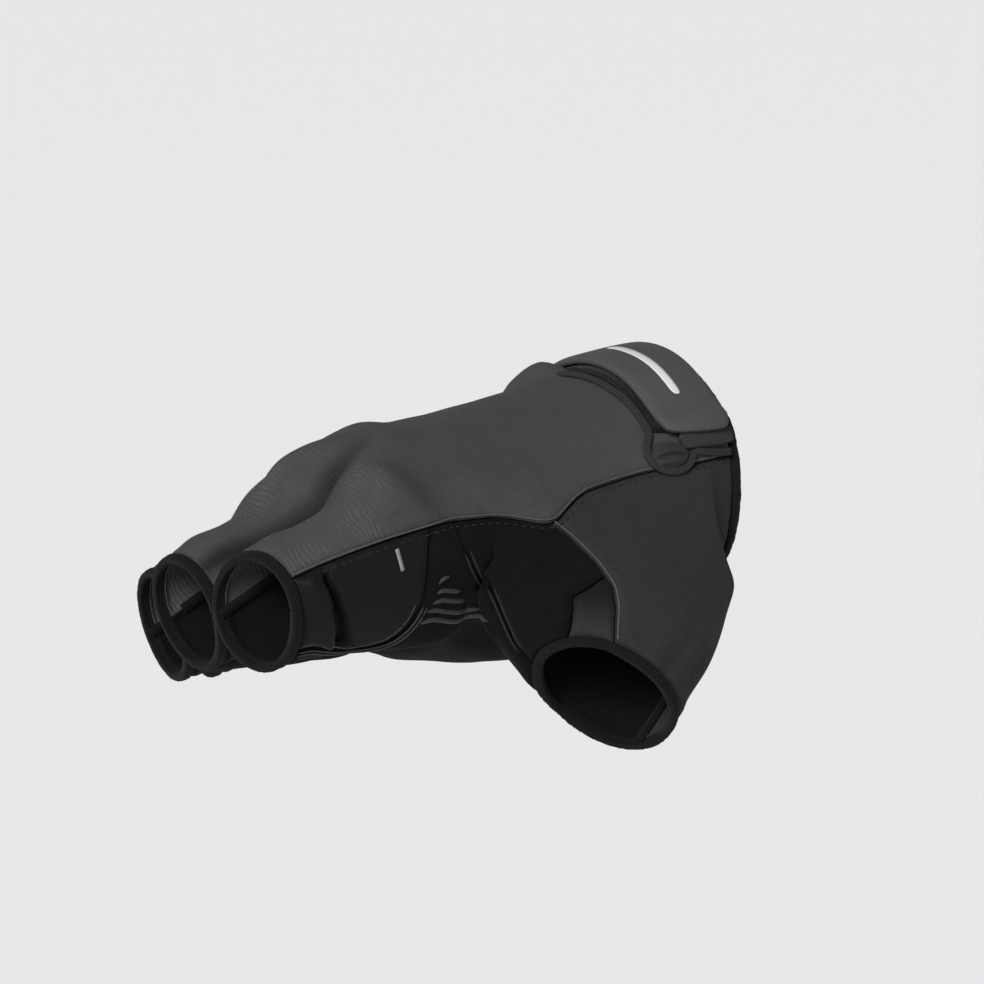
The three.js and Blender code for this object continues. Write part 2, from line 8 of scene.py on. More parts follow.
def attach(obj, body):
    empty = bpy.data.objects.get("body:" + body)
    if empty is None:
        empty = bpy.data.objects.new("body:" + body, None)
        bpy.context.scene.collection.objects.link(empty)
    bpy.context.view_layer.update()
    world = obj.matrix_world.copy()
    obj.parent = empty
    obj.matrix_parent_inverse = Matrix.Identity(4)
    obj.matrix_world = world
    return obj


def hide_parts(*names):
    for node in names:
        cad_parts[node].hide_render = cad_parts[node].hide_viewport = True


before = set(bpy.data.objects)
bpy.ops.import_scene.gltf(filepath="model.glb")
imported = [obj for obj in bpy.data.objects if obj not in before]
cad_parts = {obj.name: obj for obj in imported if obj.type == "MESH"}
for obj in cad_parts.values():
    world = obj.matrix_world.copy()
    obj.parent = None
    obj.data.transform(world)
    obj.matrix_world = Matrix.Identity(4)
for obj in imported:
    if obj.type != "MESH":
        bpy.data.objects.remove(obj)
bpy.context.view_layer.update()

# The worn form: the outer surface that all the cloth is cut from, filled out as the glove is when worn.
# It is smoothed from sections of its body, four finger stalls and thumb stall, in millimetres and degrees.
# Panels are cut from it along their seams, and each keeps a place in the cloth for its knit and grain.
BODY_COLUMNS = ("x_back", "x_palm", "sweep", "y_thumb", "y_little", "side_thumb", "side_little",
                "back_thumb", "back_mid", "back_little", "palm_thumb", "palm_mid", "palm_little", "round")
BODY_ROWS = [dict(zip(BODY_COLUMNS, row)) for row in (
    (0, 0, 0, -30.5, 29, -4, 0, 18.5, 20.5, 16.5, -26, -24, -21, 2.6),
    (-10, -10, 0, -34, 30, -6, -2, 18.2, 20.4, 16.5, -33, -29, -25, 2.5),
    (-24, -23, 0, -34.5, 33, -6, -5, 16.3, 17.9, 14.5, -37, -37, -34, 2.3),
    (-37, -34, 1, -35, 37, -6, -9, 14.9, 16.1, 11.5, -39, -42, -43, 2.3),
    (-50, -45, 2, -36, 40, -6, -13, 14, 14.2, 8, -36, -43.8, -49.3, 2.3),
    (-62, -54, 4, -37, 43, -5, -17, 13.8, 12.9, 5.5, -30, -42, -50, 2.4),
    (-73, -61, 6, -38, 45, -5, -20, 13.6, 12.4, 3.5, -26, -40.3, -49.8, 2.4),
    (-83, -67, 8, -38.5, 45, -5, -22, 13.6, 12.4, 0.5, -26, -38.6, -48.2, 2.4),
)]
FINGER_COLUMNS = ("name", "x", "y", "z", "spread", "flex", "roll", "length", "scale", "slant", "yaw")
FINGERS = [dict(zip(FINGER_COLUMNS, row)) for row in (
    ("index", -85, -27, 0.3, -1, 27, 0, 36, 0.98, 0.11, 0.11),
    ("middle", -91, -5, -2, 0, 31, 3, 36, 1.0, 0.1, 0.05),
    ("ring", -88, 16.5, -14, 1, 26, 10, 33, 0.96, 0.1, 0),
    ("little", -77, 36, -22, 6, 29, 22, 29, 0.88, 0.08, 0),
)]
STALL_SECTIONS = [dict(zip(("share", "half_width", "up", "down", "dip"), row)) for row in (
    (-0.02, 11.7, 14.9, 31.5, 3), (0.26, 11.5, 11.2, 28, 4.5), (0.54, 11.1, 10.7, 21, 3),
    (0.7, 10.9, 11.3, 17.5, 0), (0.85, 10.8, 11.4, 14.5, 0), (1, 10.7, 11.6, 12.5, 0),
)]
SHARED_SECTIONS = 3
STALL_ANGLES = (180, 135, 90, 45, 0, -45, -90, -135)
THUMB_SECTIONS = [dict(zip(("web", "wrist", "back", "palm"), map(np.array, row))) for row in (
    ((-69, -36.5, -13), (-6.2, -36.5, -22.5), (-37, -42, -9), (-37, -24, -41)),
    ((-65.5, -36, -17.5), (-9.8, -39, -29.5), (-38, -46, -15.5), (-38, -26, -44)),
    ((-62, -36, -22.5), (-15.7, -43, -36), (-39, -49, -21.5), (-39, -28.5, -47)),
    ((-58, -36.5, -27.5), (-22.8, -46, -42.5), (-40.5, -51, -26.5), (-40, -31, -50)),
    ((-53.5, -37, -33), (-29.6, -48, -49.7), (-42, -53.5, -31), (-41, -33.5, -52)),
)]
RING = 20
THUMB_FIRST, THUMB_LAST = 1, 6
SMOOTH_STEPS = 4
FIT_ROUNDS, FIT_SHARE = 3, 0.9
COLUMN_WIDTH = 9.2
ROW_LENGTH = 10.0
STALL_ROW_LENGTH = 5.5


def lerp(a, b, t):
    return a + (b - a) * t


def across(thumb, middle, little, share):
    k = max(-1.15, min(1.15, share / 0.6))
    return middle + (little - thumb) / 2 * k + ((thumb + little) / 2 - middle) * k * k


def body_point(row, column):
    angle = math.radians(180 - 18 * column)
    flat = (column if column <= 10 else 20 - column) / 5 - 1
    side = 0.65 * math.cos(angle) + 0.35 * flat
    rise = max(0.0, 1 - abs(side) ** row["round"]) ** (1 / row["round"])
    face = "back" if math.sin(angle) > 0 else "palm"
    edge = lerp(row["side_thumb"], row["side_little"], (side + 1) / 2)
    far = across(row[face + "_thumb"], row[face + "_mid"], row[face + "_little"], side)
    x = lerp(row["x_palm"], row["x_back"], (1 + (rise if face == "back" else -rise)) / 2)
    x += row["sweep"] * (side + 1) / 2
    return np.array([x, lerp(row["y_thumb"], row["y_little"], (side + 1) / 2), lerp(edge, far, rise)])


def turn(axis, degrees):
    c, s = math.cos(math.radians(degrees)), math.sin(math.radians(degrees))
    i, j = [(1, 2), (2, 0), (0, 1)][axis]
    m = np.eye(3)
    m[i, i], m[i, j], m[j, i], m[j, j] = c, -s, s, c
    return m


def stall_frame(finger):
    base = turn(0, -finger["roll"]) @ turn(2, -finger["spread"])
    side = base @ np.array([0, 1.0, 0])
    way = base @ turn(1, -finger["flex"]) @ np.array([-1.0, 0, 0])
    return side, way, np.cross(side, way)


def stall_point(finger, section, degrees):
    side, way, up = stall_frame(finger)
    c, s = math.cos(math.radians(degrees)), math.sin(math.radians(degrees))
    lean = max(0, section["share"]) ** 2 * (finger["yaw"] * c - finger["slant"] * s)
    base = np.array([finger["x"], finger["y"], finger["z"]])
    place = base + way * (section["share"] + lean) * finger["length"]
    place += side * section["half_width"] * finger["scale"] * c
    return place + up * section["up" if s > 0 else "down"] * finger["scale"] * s


def shared_point(section, column):
    if column == 0:
        return stall_point(FINGERS[0], section, 180)
    if column == 10:
        return stall_point(FINGERS[3], section, 0)
    sign = 1 if column < 10 else -1
    strip, odd = divmod((column if column < 10 else 20 - column) - 1, 2)
    if odd:
        return stall_point(FINGERS[strip], section, 90 * sign)
    if strip == 0:
        return stall_point(FINGERS[0], section, 135 * sign)
    if strip == 4:
        return stall_point(FINGERS[3], section, 45 * sign)
    side = stall_point(FINGERS[strip], section, 135 * sign)
    other_side = stall_point(FINGERS[strip - 1], section, 45 * sign)
    between = (side + other_side) / 2
    return between - stall_frame(FINGERS[strip])[2] * section["dip"] if sign > 0 else between


def thumb_point(section, step):
    middle = (section["web"] + section["wrist"]) / 2
    c, s = math.cos(math.radians(50 + 20 * step)), math.sin(math.radians(50 + 20 * step))
    place = middle + (section["back" if c > 0 else "palm"] - middle) * abs(c)
    return place + (section["wrist" if s > 0 else "web"] - middle) * abs(s)


def make_cage():
    points, places, faces = [], [], []

    def add(point, u, v):
        points.append(point)
        places.append((u * COLUMN_WIDTH, v, 0))
        return len(points) - 1

    folded = [min(c, RING - c) for c in range(RING)]
    rows = [[add(body_point(row, c), folded[c], r * ROW_LENGTH) for c in range(RING)]
            for r, row in enumerate(BODY_ROWS)]
    for section in STALL_SECTIONS[:SHARED_SECTIONS]:
        rows.append([add(shared_point(section, c), folded[c], len(rows) * ROW_LENGTH) for c in range(RING)])
    for r in range(len(rows) - 1):
        for c in range(RING):
            if not (THUMB_FIRST <= r < THUMB_LAST and (c >= 17 or c == 0)):
                n = (c + 1) % RING
                faces.append((rows[r][c], rows[r][n], rows[r + 1][n], rows[r + 1][c]))
    end = rows[-1]
    length = (len(rows) - 1) * ROW_LENGTH
    web = STALL_SECTIONS[SHARED_SECTIONS - 1]
    gaps = []
    for i in range(3):
        beside = stall_point(FINGERS[i], web, 0) + stall_point(FINGERS[i + 1], web, 180)
        gaps.append(add(beside / 2, 2 * i + 2.5, length))
    sides = [end[0], *gaps, end[10]]
    for i, finger in enumerate(FINGERS):
        ring = [sides[i], *end[2 * i + 1:2 * i + 4], sides[i + 1], *[end[k - 2 * i] for k in (17, 18, 19)]]
        for k, section in enumerate(STALL_SECTIONS[SHARED_SECTIONS:]):
            v = length + (k + 1) * STALL_ROW_LENGTH
            after = [add(stall_point(finger, section, a), 2 * i + min(j, 8 - j) + 0.3, v)
                     for j, a in enumerate(STALL_ANGLES)]
            faces += [(ring[j], ring[(j + 1) % 8], after[(j + 1) % 8], after[j]) for j in range(8)]
            ring = after
    between = range(THUMB_FIRST + 1, THUMB_LAST)
    columns = (1, 0, 19, 18, 17)
    ring = [rows[THUMB_FIRST][c] for c in columns] + [rows[r][17] for r in between]
    ring += [rows[THUMB_LAST][c] for c in reversed(columns)] + [rows[r][1] for r in reversed(between)]
    for k, section in enumerate(THUMB_SECTIONS):
        after = [add(thumb_point(section, j), min(j, 18 - j), (k + 1) * STALL_ROW_LENGTH) for j in range(18)]
        faces += [(ring[j], after[j], after[(j + 1) % 18], ring[(j + 1) % 18]) for j in range(18)]
        ring = after
    used = sorted({i for face in faces for i in face})
    new = {old: i for i, old in enumerate(used)}
    return np.array(points)[used], np.array(places, float)[used], [tuple(new[i] for i in f) for f in faces]


def resting_points(points, faces):
    near, far, rim = np.zeros_like(points), np.zeros_like(points), np.zeros_like(points)
    count, shared = np.zeros((len(points), 1)), {}
    for face in faces:
        for i in range(4):
            far[face[i]] += points[face[(i + 2) % 4]]
            count[face[i]] += 1
            edge = tuple(sorted((face[i], face[(i + 1) % 4])))
            shared[edge] = shared.get(edge, 0) + 1
    opened = np.zeros(len(points), bool)
    for (a, b), uses in shared.items():
        near[a] += points[b]
        near[b] += points[a]
        if uses == 1:
            rim[a] += points[b]
            rim[b] += points[a]
            opened[[a, b]] = True
    rest = (count ** 2 * points + 4 * near + far) / (count * (count + 5))
    rest[opened] = (4 * points[opened] + rim[opened]) / 6
    return rest


def new_mesh(name, points, faces):
    mesh = bpy.data.meshes.new(name)
    mesh.from_pydata([tuple(p) for p in np.asarray(points, float)], [], faces)
    mesh.update()
    return mesh


def make_surface():
    wanted, places, faces = make_cage()
    cage = wanted.copy()
    for _ in range(FIT_ROUNDS):
        cage += FIT_SHARE * (wanted - resting_points(cage, faces))
    mesh = new_mesh("worn_form", cage, faces)
    mesh.attributes.new("cloth", "FLOAT_VECTOR", "POINT").data.foreach_set("vector", places.ravel())
    form = bpy.data.objects.new("worn_form", mesh)
    bpy.context.scene.collection.objects.link(form)
    smooth = form.modifiers.new("smooth", "SUBSURF")
    smooth.levels = smooth.render_levels = SMOOTH_STEPS
    smooth.use_limit_surface = False
    done = form.evaluated_get(bpy.context.evaluated_depsgraph_get()).to_mesh()
    count = len(done.vertices)
    points, normals, cloth = np.empty(count * 3), np.empty(count * 3), np.empty(count * 3, np.float32)
    done.vertices.foreach_get("co", points)
    done.vertices.foreach_get("normal", normals)
    done.attributes["cloth"].data.foreach_get("vector", cloth)
    quads = np.empty(len(done.polygons) * 4, np.int64)
    done.polygons.foreach_get("vertices", quads)
    form.to_mesh_clear()
    bpy.data.objects.remove(form)
    return {"p": points.reshape(-1, 3), "n": normals.reshape(-1, 3), "c": cloth.reshape(-1, 3).astype(float),
            "quads": quads.reshape(-1, 4), "odd": []}


SURFACE = make_surface()

# The five finger and thumb hems and the wrist edge: elastic tape folded over the raw edge and overlocked,
# so each edge is a soft narrow band with tight slanting stitches over it, darker than the panels.
HEM_WIDTH = 2.2
HEM_SWELL = 0.3
HEM_WALL = 1.4
HEM_LIFT = 0.05
HEM_REACH = 6.0
FRAY = {"fine": 0.16, "fine_size": 0.7, "broad": 0.14, "broad_size": 3.0}
OVERLOCK_PITCH = 0.62
THREAD_DRIFT, DRIFT_SIZE = 1.2, 2.0
HEM_PLACES = {"index": (-116, -27, -17), "middle": (-121, -5, -20), "ring": (-117, 15, -27),
              "little": (-101, 34, -36), "thumb": (-41, -43, -42), "wrist": (0, 0, -2)}
CUT_SNAP = 0.03


def clip(cloth, values, margin=0.0):
    """The part of a cloth whose values are over the margin, and the edges of the cut."""
    v = values - margin
    v = np.where(np.abs(v) < CUT_SNAP, 0.0, v)
    inside = v >= 0
    whole = inside[cloth["quads"]].all(1)
    none = (v <= 0)[cloth["quads"]].all(1)
    quads = cloth["quads"][whole & ~none]
    mixed = cloth["quads"][~whole & ~none].tolist() + cloth["odd"]
    made, extra = {}, {"p": [], "n": [], "c": []}

    def crossing(a, b):
        key = (a, b) if a < b else (b, a)
        if key not in made:
            i, j = key
            t = v[i] / (v[i] - v[j])
            made[key] = len(cloth["p"]) + len(extra["p"])
            for field in "pnc":
                extra[field].append(cloth[field][i] + (cloth[field][j] - cloth[field][i]) * t)
        return made[key]

    odd = []
    for face in mixed:
        if all(v[i] <= 0 for i in face):
            continue
        corners = []
        for k, a in enumerate(face):
            b = face[(k + 1) % len(face)]
            if v[a] >= 0:
                corners.append(a)
            if v[a] * v[b] < 0:
                corners.append(crossing(a, b))
        if len(corners) > 2:
            odd.append(corners)
    out = {f: np.vstack([cloth[f], extra[f]]) if extra["p"] else cloth[f] for f in "pnc"}
    used = np.unique(np.concatenate([quads.ravel(), np.array([i for f in odd for i in f], np.int64)]))
    new = np.full(len(out["p"]), -1)
    new[used] = np.arange(len(used))
    kept = {f: out[f][used] for f in "pnc"}
    kept["quads"] = new[quads]
    kept["odd"] = [[int(new[i]) for i in f] for f in odd]
    return kept


def open_edges(cloth):
    """The edges that only one of a cloth's faces has."""
    quads = cloth["quads"]
    edges = np.empty((0, 2), int)
    if len(quads):
        edges = np.concatenate([quads[:, [k, (k + 1) % 4]] for k in range(4)])
    loose = [(f[k], f[(k + 1) % len(f)]) for f in cloth["odd"] for k in range(len(f))]
    edges = np.vstack([edges, loose]) if loose else edges
    keys = {(a, b) for a, b in edges.tolist()}
    return [(a, b) for a, b in keys if (b, a) not in keys]


def chains(edges):
    """Open edges joined end to end, longest first."""
    after = {}
    for a, b in edges:
        after.setdefault(a, []).append(b)
    found = []
    starts = sorted(set(after) - {b for _, b in edges}) + sorted(after)
    for start in starts:
        line = [start]
        while after.get(line[-1]):
            line.append(after[line[-1]].pop())
        if len(line) > 2:
            found.append(line)
    return sorted(found, key=len, reverse=True)


def distance_to(points, targets, reach):
    """Distance from each point to the nearest target, up to a reach."""
    tree = kdtree.KDTree(len(targets))
    for i, p in enumerate(targets):
        tree.insert(p, i)
    tree.balance()
    low, high = targets.min(0) - reach, targets.max(0) + reach
    near = np.where(((points > low) & (points < high)).all(1))[0]
    distance, index = np.full(len(points), float(reach)), np.zeros(len(points), int)
    for i in near:
        _, k, d = tree.find(points[i])
        if d < reach:
            distance[i], index[i] = d, k
    return distance, index


def finished_mesh(name, points, faces, cloth):
    """A smooth mesh in metres from places in millimetres, with each point's place in the cloth."""
    mesh = new_mesh(name, np.asarray(points) / 1000, faces)
    places = mesh.attributes.new("cloth", "FLOAT_VECTOR", "POINT").data
    places.foreach_set("vector", np.asarray(cloth, float).ravel())
    mesh.shade_smooth()
    return mesh


def shell(name, cloth, outer, inner):
    """A closed skin: the cloth lifted by outer and by inner along its normals, and joined at its edges."""
    n = len(cloth["p"])
    points = np.vstack([cloth["p"] + cloth["n"] * np.reshape(outer, (-1, 1)),
                        cloth["p"] + cloth["n"] * np.reshape(inner, (-1, 1))])
    faces = cloth["quads"].tolist() + cloth["odd"]
    faces += [[i + n for i in reversed(f)] for f in faces]
    faces += [[b, a, a + n, b + n] for a, b in open_edges(cloth)]
    return finished_mesh(name, points, faces, np.vstack([cloth["c"]] * 2))


def add_piece(name, mesh, material, node=None):
    """A piece of the glove, which may take the place of a CAD node and have a slot for its material."""
    piece = bpy.data.objects.new(name, mesh)
    bpy.context.scene.collection.objects.link(piece)
    mesh.materials.append(material)
    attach(piece, "root")
    if node:
        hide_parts(node)
    return piece


def colour(hexa):
    """A screen colour as the linear colour that the renderer uses."""
    parts = [int(hexa[i:i + 2], 16) / 255 for i in (1, 3, 5)]
    return [c / 12.92 if c <= 0.04045 else ((c + 0.055) / 1.055) ** 2.4 for c in parts] + [1]


def node(owner, kind, links=(), **settings):
    """Adds one node to a material or the world. Links are its inputs, in order or by name.

    Each is a number, a colour or another node's output.
    """
    made = owner.node_tree.nodes.new("ShaderNode" + kind)
    for key, value in settings.items():
        setattr(made, key, value)
    for key, value in (links.items() if isinstance(links, dict) else enumerate(links)):
        if isinstance(value, bpy.types.NodeSocket):
            owner.node_tree.links.new(value, made.inputs[key])
        else:
            made.inputs[key].default_value = value
    return made.outputs[0]


def new_material(name, hexa, rough, gloss):
    material = bpy.data.materials.new(name)
    material.use_nodes = True
    shader = material.node_tree.nodes["Principled BSDF"]
    shader.inputs["Base Color"].default_value = colour(hexa)
    shader.inputs["Roughness"].default_value = rough
    shader.inputs["Specular IOR Level"].default_value = gloss
    return material, shader


def place_in_cloth(material):
    """The two distances along the cloth and the height over its seams and folds, in millimetres; where that
    height sinks below zero the materials paint shade.
    """
    place = node(material, "Attribute", attribute_name="cloth").node.outputs["Vector"]
    return node(material, "SeparateXYZ", [place]).node.outputs


def object_place(material):
    return node(material, "TexCoord").node.outputs["Object"]


def soft_patches(material, size, detail=3.0, rough=0.5):
    """Random light and dark, or high and low, in patches about size millimetres across."""
    settings = {"Vector": object_place(material), "Scale": 1000 / size, "Detail": detail, "Roughness": rough}
    return node(material, "TexNoise", settings)


def even_ribs(material, turns):
    """Smooth ribs from 0 to 1, one to a turn."""
    angle = node(material, "Math", (turns, 2 * math.pi), operation="MULTIPLY")
    wave = node(material, "Math", (angle,), operation="SINE")
    return node(material, "Math", (wave, 0.5, 0.5), operation="MULTIPLY_ADD")


PATCH_SIZES = (11, 1.7)
FUZZ_SIZE = 0.4
# Painted shade: how much darker the colour is drawn where the cloth sinks into a roll, fold or valley, by
# depth in millimetres.
PAINTED_CREASE_SHADE = {"From Min": -2.2, "From Max": -0.1, "To Min": 0.12, "To Max": 1.0}
SHEEN_ROUGHNESS = 0.45


def cloth_material(name, hexa, height, bump, dark=0.62, patch=0.12, fuzz=0.25, rough=0.9, gloss=0.1,
                   sheen=0.02):
    """A dyed textile with soft patches and a fine fuzz, with painted shade between its stitches and in
    creases.

    Height draws its stitches, and bump is how far they stand up, in millimetres. The low places of the height
    get painted shade by the amount dark, and rolls, folds and valleys get painted shade by their depth.
    """
    material, shader = new_material(name, hexa, rough, gloss)
    relief = height(material)
    grain = soft_patches(material, FUZZ_SIZE, detail=2.0)
    # Painted shade: the low places of the relief, between stitches, threads, grains and tufts, are drawn
    # darker by the amount dark.
    shade = node(material, "Math", (relief, 1 - dark, dark), operation="MULTIPLY_ADD")
    patterns = [(soft_patches(material, size), patch) for size in PATCH_SIZES] + [(grain, fuzz)]
    for pattern, strength in patterns:
        factor = node(material, "Math", (pattern, strength * 2, 1 - strength), operation="MULTIPLY_ADD")
        shade = node(material, "Math", (shade, factor), operation="MULTIPLY")
    # Painted shade in the rolls at the seams, in folds and in valleys, from the depth kept in the cloth's
    # third place.
    crease = node(material, "MapRange", {"Value": place_in_cloth(material)[2], **PAINTED_CREASE_SHADE})
    shade = node(material, "Math", (shade, crease), operation="MULTIPLY")
    base = node(material, "VectorMath", {0: colour(hexa)[:3], "Scale": shade}, operation="SCALE")
    material.node_tree.links.new(base, shader.inputs["Base Color"])
    rise = node(material, "Math", (grain, 0.5, relief), operation="MULTIPLY_ADD")
    dent = node(material, "Bump", {"Height": rise, "Strength": 1.0, "Distance": bump / 1000})
    material.node_tree.links.new(dent, shader.inputs["Normal"])
    shader.inputs["Sheen Weight"].default_value = sheen
    shader.inputs["Sheen Roughness"].default_value = SHEEN_ROUGHNESS
    return material


def unevenness(points, size):
    """Smooth random bumps from -1 to 1, each about size millimetres across."""
    return np.array([noise.noise(Vector(p) / size) for p in points])


RIMS = {}
for line in chains(open_edges(SURFACE))[:len(HEM_PLACES)]:
    centre = SURFACE["p"][line].mean(0)
    RIMS[min(HEM_PLACES, key=lambda k: np.linalg.norm(centre - HEM_PLACES[k]))] = np.array(line[:-1])
FREE_CLOTH = SURFACE


def overlock_height(pitch, slant):
    """Tight parallel threads over an edge, leaning by slant turns for each millimetre across."""
    def height(material):
        u, v, _ = place_in_cloth(material)
        threads = node(material, "Math", (u, pitch), operation="DIVIDE")
        leaning = node(material, "Math", (v, slant, threads), operation="MULTIPLY_ADD")
        drift = soft_patches(material, DRIFT_SIZE)
        turns = node(material, "Math", (drift, THREAD_DRIFT, leaning), operation="MULTIPLY_ADD")
        return even_ribs(material, turns)
    return height


def nearest_on_rim(cloth, rim):
    """How far each place on a cloth is from a rim on the same face of it, and the rim's nearest point."""
    d, nearest = distance_to(cloth["p"], SURFACE["p"][rim], HEM_REACH)
    d[(cloth["n"] * SURFACE["n"][rim][nearest]).sum(1) < 0] = HEM_REACH
    return d, nearest


# Black elastic tape under tight overlock threads: matt, with fine slanting ridges.
hem_tape = cloth_material("overlocked_black_elastic_tape", "#121314", overlock_height(OVERLOCK_PITCH, 0.45),
                          0.09, fuzz=0.5)
# The same tape folded over the cuff, a shade lighter, with its threads more upright.
cuff_tape = cloth_material("folded_black_elastic_binding", "#151617", overlock_height(OVERLOCK_PITCH, 0.3),
                           0.08, fuzz=0.5)
for name, rim in RIMS.items():
    line = SURFACE["p"][rim]
    steps = np.linalg.norm(np.roll(line, -1, 0) - line, axis=1)
    lengths = np.concatenate([[0], np.cumsum(steps)[:-1]])
    d, nearest = nearest_on_rim(SURFACE, rim)
    band = clip({**SURFACE, "c": np.column_stack([lengths[nearest], d, d * 0])}, HEM_WIDTH - d)
    d = band["c"][:, 1]
    swell = HEM_SWELL * np.sqrt(np.clip(1 - ((d - HEM_WIDTH / 2) / (HEM_WIDTH / 2)) ** 2, 0, 1))
    fray = FRAY["fine"] * unevenness(band["p"], FRAY["fine_size"])
    fray += FRAY["broad"] * unevenness(band["p"], FRAY["broad_size"])
    mesh = shell(name + "_edge", band, HEM_LIFT + swell + fray, -HEM_WALL + 0.3 * swell)
    if name == "wrist":
        add_piece("cuff_edge", mesh, cuff_tape, "cuff_binding")
    else:
        add_piece(name + "_edge", mesh, hem_tape, name + "_hem")
    FREE_CLOTH = clip(FREE_CLOTH, nearest_on_rim(FREE_CLOTH, rim)[0], HEM_WIDTH)

# The back: a thin stretch knit over the whole back of the glove and of its fingers, in mid grey.
# Pulled over the knuckles it shows fine ridges across the fingers, and it lies in the valleys between them,
# where shade is painted by their depth.
# Near the wrist the closure lifts it on the far side in a low arch.
BACK_SEAM_Y = (-38, -16, 5.5, 27, 45)
BACK_SEAM = [dict(zip(("x", "z"), row)) for row in (
    (-122, (-9.5, -20, -25, -37.5, -47)),
    (-106, (-5.1, -11.8, -16.7, -29.5, -38.2)),
    (-92, (-2.0, -4.6, -9.2, -22.3, -30.3)),
    (-78, (0.1, 0, -4, -16, -22.4)),
    (-64, (-0.7, 0, -3, -11, -17.6)),
    (-52.5, (-3.4, 0, -3, -8, -14)),
    (-42, (1.7, 1, -2, -6, -10.6)),
    (-26, (4.4, 1, -1, -3, -5.5)),
    (2, (5.6, 2, 0, 0, 0)),
)]
SEAM_GAP = 0.35
KNIT_WALL = 1.0
KNIT_WALE, KNIT_COURSE = 0.6, 0.55
RIDGE_PITCH = 1.1
RIDGE_DRIFT, DRIFT_PATCH = 5.0, 9.0
RIDGES_FROM_X, RIDGES_FULL_X = -72, -96
ARCH = {"x": -22.4, "half_width": 4.2, "y": 20.0, "half_length": 11.0, "height": 5.2}
VALLEY = ((-120, -12.5), (-112, -13), (-104, -14), (-96, -15.5), (-88, -14.5), (-80, -11))
VALLEY_DEPTH, VALLEY_WIDTH = 1.8, 1.9
VALLEY_START_X, VALLEY_RUN = -78, 14
GRAIN_LEAN = 0.45


def interpolated(line, place):
    """The value along a line of (place, value) pairs, straight on beyond its ends."""
    x, y = np.array(line, float).T
    inside = np.interp(place, x, y)
    before = y[0] + (place - x[0]) * (y[1] - y[0]) / (x[1] - x[0])
    after = y[-1] + (place - x[-1]) * (y[-1] - y[-2]) / (x[-1] - x[-2])
    return np.where(place < x[0], before, np.where(place > x[-1], after, inside))


def back_seam(p):
    """How high a place is over the seam that runs round the back panel."""
    x = [row["x"] for row in BACK_SEAM]
    heights = []
    for k in range(len(BACK_SEAM_Y)):
        z = [row["z"][k] for row in BACK_SEAM]
        heights.append(sum(np.interp(p[:, 0] + step, x, z) for step in (-2, 0, 2)) / 3)
    heights = np.array(heights)
    y = np.clip(p[:, 1], BACK_SEAM_Y[0], BACK_SEAM_Y[-1])
    k = np.clip(np.searchsorted(BACK_SEAM_Y, y) - 1, 0, 3)
    t = (y - np.array(BACK_SEAM_Y)[k]) / (np.array(BACK_SEAM_Y)[k + 1] - np.array(BACK_SEAM_Y)[k])
    i = np.arange(len(p))
    return p[:, 2] - lerp(heights[k, i], heights[k + 1, i], t)


def cut_panel(field):
    """Cuts a panel from the free cloth, with half the seam's gap on each side."""
    global FREE_CLOTH
    panel = clip(FREE_CLOTH, field(FREE_CLOTH["p"]), SEAM_GAP / 2)
    FREE_CLOTH = clip(FREE_CLOTH, -field(FREE_CLOTH["p"]), SEAM_GAP / 2)
    return panel


# Each panel rolls in at its seams, and the depth of the roll is also painted into the colour as shade along
# the groove.
ROLL = {"depth": 0.6, "width": 0.8}
PUFF = {"height": 0.16, "at": 2.0, "width": 1.2}
PUCKER = {"height": 0.2, "size": 1.6, "at": 1.2, "width": 1.6}
SLACK = {"height": 0.2, "size": 7.0, "from_seam": 4.0}
FOLDS_FROM_SEAM = 1.5
SEAM_REACH = 6.0


def border_distance(cloth, reach):
    """How far each place on a cloth is from its cut edge, up to a reach."""
    border = np.array(sorted({i for e in open_edges(cloth) for i in e}))
    return distance_to(cloth["p"], cloth["p"][border], reach)[0]


def soft_bump(d, at, width):
    """A soft bump from 0 to 1 along a distance."""
    return np.exp(-((d - at) / width) ** 2)


def shaped(cloth, wall, extra=None):
    """The outer and inner lift of a sewn panel: rolled in at its seams, puffed and puckered beside them."""
    d = border_distance(cloth, SEAM_REACH)
    rolled = -ROLL["depth"] * soft_bump(d, 0, ROLL["width"])
    outer = rolled + PUFF["height"] * soft_bump(d, PUFF["at"], PUFF["width"])
    pucker = PUCKER["height"] * unevenness(cloth["p"], PUCKER["size"])
    outer += pucker * soft_bump(d, PUCKER["at"], PUCKER["width"])
    outer += SLACK["height"] * unevenness(cloth["p"], SLACK["size"]) * np.clip(d / SLACK["from_seam"], 0, 1)
    if extra is not None:
        outer = outer + extra * np.clip(d / FOLDS_FROM_SEAM, 0, 1)
    return outer, np.minimum(outer, 0) - wall


def add_panel(name, cloth, wall, material, node_name, extra=None):
    """A sewn panel, whose place in the cloth also says how deep each roll and fold lies, for the shade
    painted there.
    """
    outer, inner = shaped(cloth, wall, extra=extra)
    # The depth of each roll, pucker and fold is kept for the materials, which paint shade there.
    cloth["c"][:, 2] = np.minimum(outer, 0)
    return add_piece(name, shell(name, cloth, outer, inner), material, node_name)


def knit_height(material, wale, course, slope):
    """The face of a plain knit: columns of V-shaped stitches, from 0 between them to 1 on top."""
    u, v, _ = place_in_cloth(material)
    halves = node(material, "Math", (u, wale / 2), operation="DIVIDE")
    column = node(material, "Math", (halves, 1.0), operation="PINGPONG")
    row = node(material, "Math", (v, course), operation="DIVIDE")
    legs = even_ribs(material, node(material, "Math", (column, slope, row), operation="MULTIPLY_ADD"))
    groove = node(material, "Math", (column, 3.0), operation="POWER")
    rounding = node(material, "Math", (1.0, groove), operation="SUBTRACT")
    return node(material, "Math", (legs, rounding), operation="MULTIPLY")


